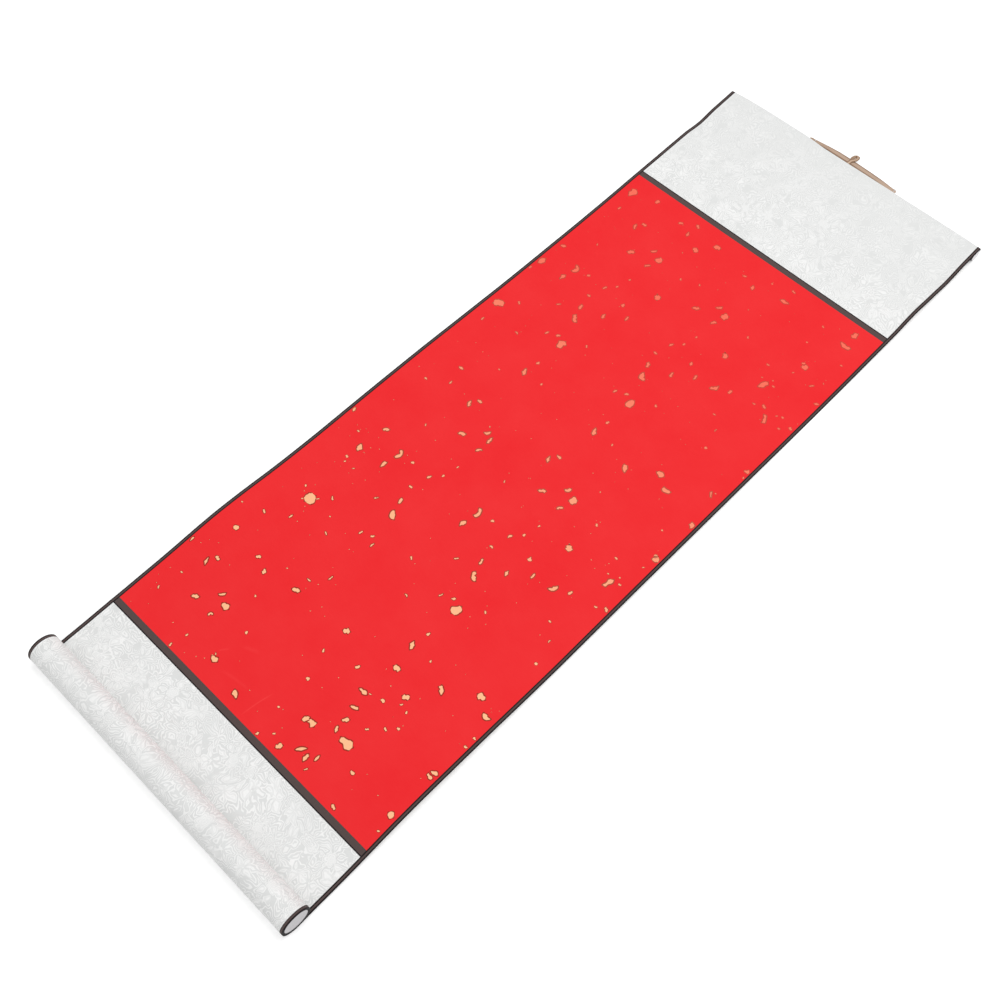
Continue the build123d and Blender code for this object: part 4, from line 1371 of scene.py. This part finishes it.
class SCROLL_OT_stage(Operator):
    """Sets the camera, the light and the plain white floor"""

    bl_idname = "scroll.stage"
    bl_label = "Stage"

    def execute(self, context):
        scene = context.scene
        stage = scene.scroll_stage
        roller_y = centre_of("roller_dowel").y
        eye = bpy.data.objects.new("camera", bpy.data.cameras.new("camera"))
        scene.collection.objects.link(eye)
        eye.location = (stage.camera_across, roller_y - stage.camera_past, stage.camera_height)
        eye.rotation_euler = (stage.camera_lean, 0, stage.camera_turn)
        eye.data.sensor_width = SENSOR
        eye.data.lens = stage.focal_length
        scene.camera = eye
        scene.view_settings.view_transform = "Standard"
        lamp("key", "AREA", (0.25, 0.6, 2.1), energy=stage.key, shape="DISK", size=1.6)
        lamp("fill", "SUN", (0.6, -0.4, 2.0), energy=stage.fill, angle=math.radians(60))
        self.sky(scene, stage)
        self.floor(stage)
        return {"FINISHED"}

    @staticmethod
    def seen(tree):
        """1 for rays from the camera, from a mirror or through glass, and 0 for the rest."""
        path = add_node(tree, "ShaderNodeLightPath", {})
        total = path.outputs["Is Camera Ray"]
        for name in ("Is Glossy Ray", "Is Transmission Ray"):
            inputs = {0: total, 1: path.outputs[name]}
            total = add_node(tree, "ShaderNodeMath", inputs, operation="MAXIMUM").outputs[0]
        return total

    def sky(self, scene, stage):
        """An even white sky whose level is 1 where it is seen and lower as a light."""
        scene.world = scene.world or bpy.data.worlds.new("sky")
        scene.world.use_nodes = True
        tree = scene.world.node_tree
        tree.nodes.clear()
        inputs = {"Value": self.seen(tree), "To Min": stage.sky, "To Max": 1.0}
        level = add_node(tree, "ShaderNodeMapRange", inputs)
        inputs = {"Color": (1, 1, 1, 1), "Strength": level.outputs[0]}
        back = add_node(tree, "ShaderNodeBackground", inputs)
        add_node(tree, "ShaderNodeOutputWorld", {0: back.outputs[0]})

    def floor(self, stage):
        """A wide plane under the scroll, white to the camera and pale to other rays, that takes shadow."""
        half, gap = 12.0, 0.00002
        z = cad_box[0].z - gap
        mesh = bpy.data.meshes.new("floor")
        corners = [(-half, -half, z), (half, -half, z), (half, half, z), (-half, half, z)]
        mesh.from_pydata(corners, [], [range(4)])
        material = bpy.data.materials.new("white_floor")
        material.use_nodes = True
        tree = material.node_tree
        tree.nodes.clear()
        pale = add_node(tree, "ShaderNodeBsdfDiffuse", {"Color": (0.8, 0.8, 0.8, 1)})
        white = add_node(tree, "ShaderNodeBsdfDiffuse", {"Color": (1, 1, 1, 1)})
        glow = add_node(tree, "ShaderNodeEmission", {"Strength": stage.floor_lift})
        both = add_node(tree, "ShaderNodeAddShader", {0: white.outputs[0], 1: glow.outputs[0]})
        inputs = {0: self.seen(tree), 1: pale.outputs[0], 2: both.outputs[0]}
        mix = add_node(tree, "ShaderNodeMixShader", inputs)
        add_node(tree, "ShaderNodeOutputMaterial", {0: mix.outputs[0]})
        mesh.materials.append(material)
        floor = bpy.data.objects.new("floor", mesh)
        bpy.context.scene.collection.objects.link(floor)


OPERATORS = (
    SCROLL_OT_stage,
    SCROLL_OT_hanging,
    SCROLL_OT_staples,
    SCROLL_OT_backing_paper,
    SCROLL_OT_silk,
    SCROLL_OT_strips,
    SCROLL_OT_red_paper,
    SCROLL_OT_gold_flecks,
    SCROLL_OT_bindings,
    SCROLL_OT_rods,
)
GROUPS = {
    "scroll_sheet": ScrollSheet,
    "scroll_flecks": ScrollFlecks,
    "scroll_ribbon": ScrollRibbon,
    "scroll_colours": ScrollColours,
    "scroll_stage": ScrollStage,
}


class SCROLL_PT_panel(Panel):
    """Lists the steps that dress the scroll"""

    bl_idname = "SCROLL_PT_panel"
    bl_label = "Hanging scroll"
    bl_space_type = "VIEW_3D"
    bl_region_type = "UI"
    bl_category = "Scroll"

    def draw(self, context):
        for step in OPERATORS:
            self.layout.operator(step.bl_idname)


def register():
    """Adds the classes, and the groups of sizes and colours to the scene."""
    for kind in (*GROUPS.values(), *OPERATORS, SCROLL_PT_panel):
        bpy.utils.register_class(kind)
    for name, group in GROUPS.items():
        setattr(bpy.types.Scene, name, PointerProperty(type=group))


def unregister():
    """Takes away what register adds."""
    for name in GROUPS:
        delattr(bpy.types.Scene, name)
    for kind in (SCROLL_PT_panel, *reversed(OPERATORS), *reversed(list(GROUPS.values()))):
        bpy.utils.unregister_class(kind)


def main():
    """Makes every piece."""
    register()
    for step in OPERATORS:
        group, name = step.bl_idname.split(".")
        getattr(getattr(bpy.ops, group), name)()


if __name__ == "__main__":
    main()
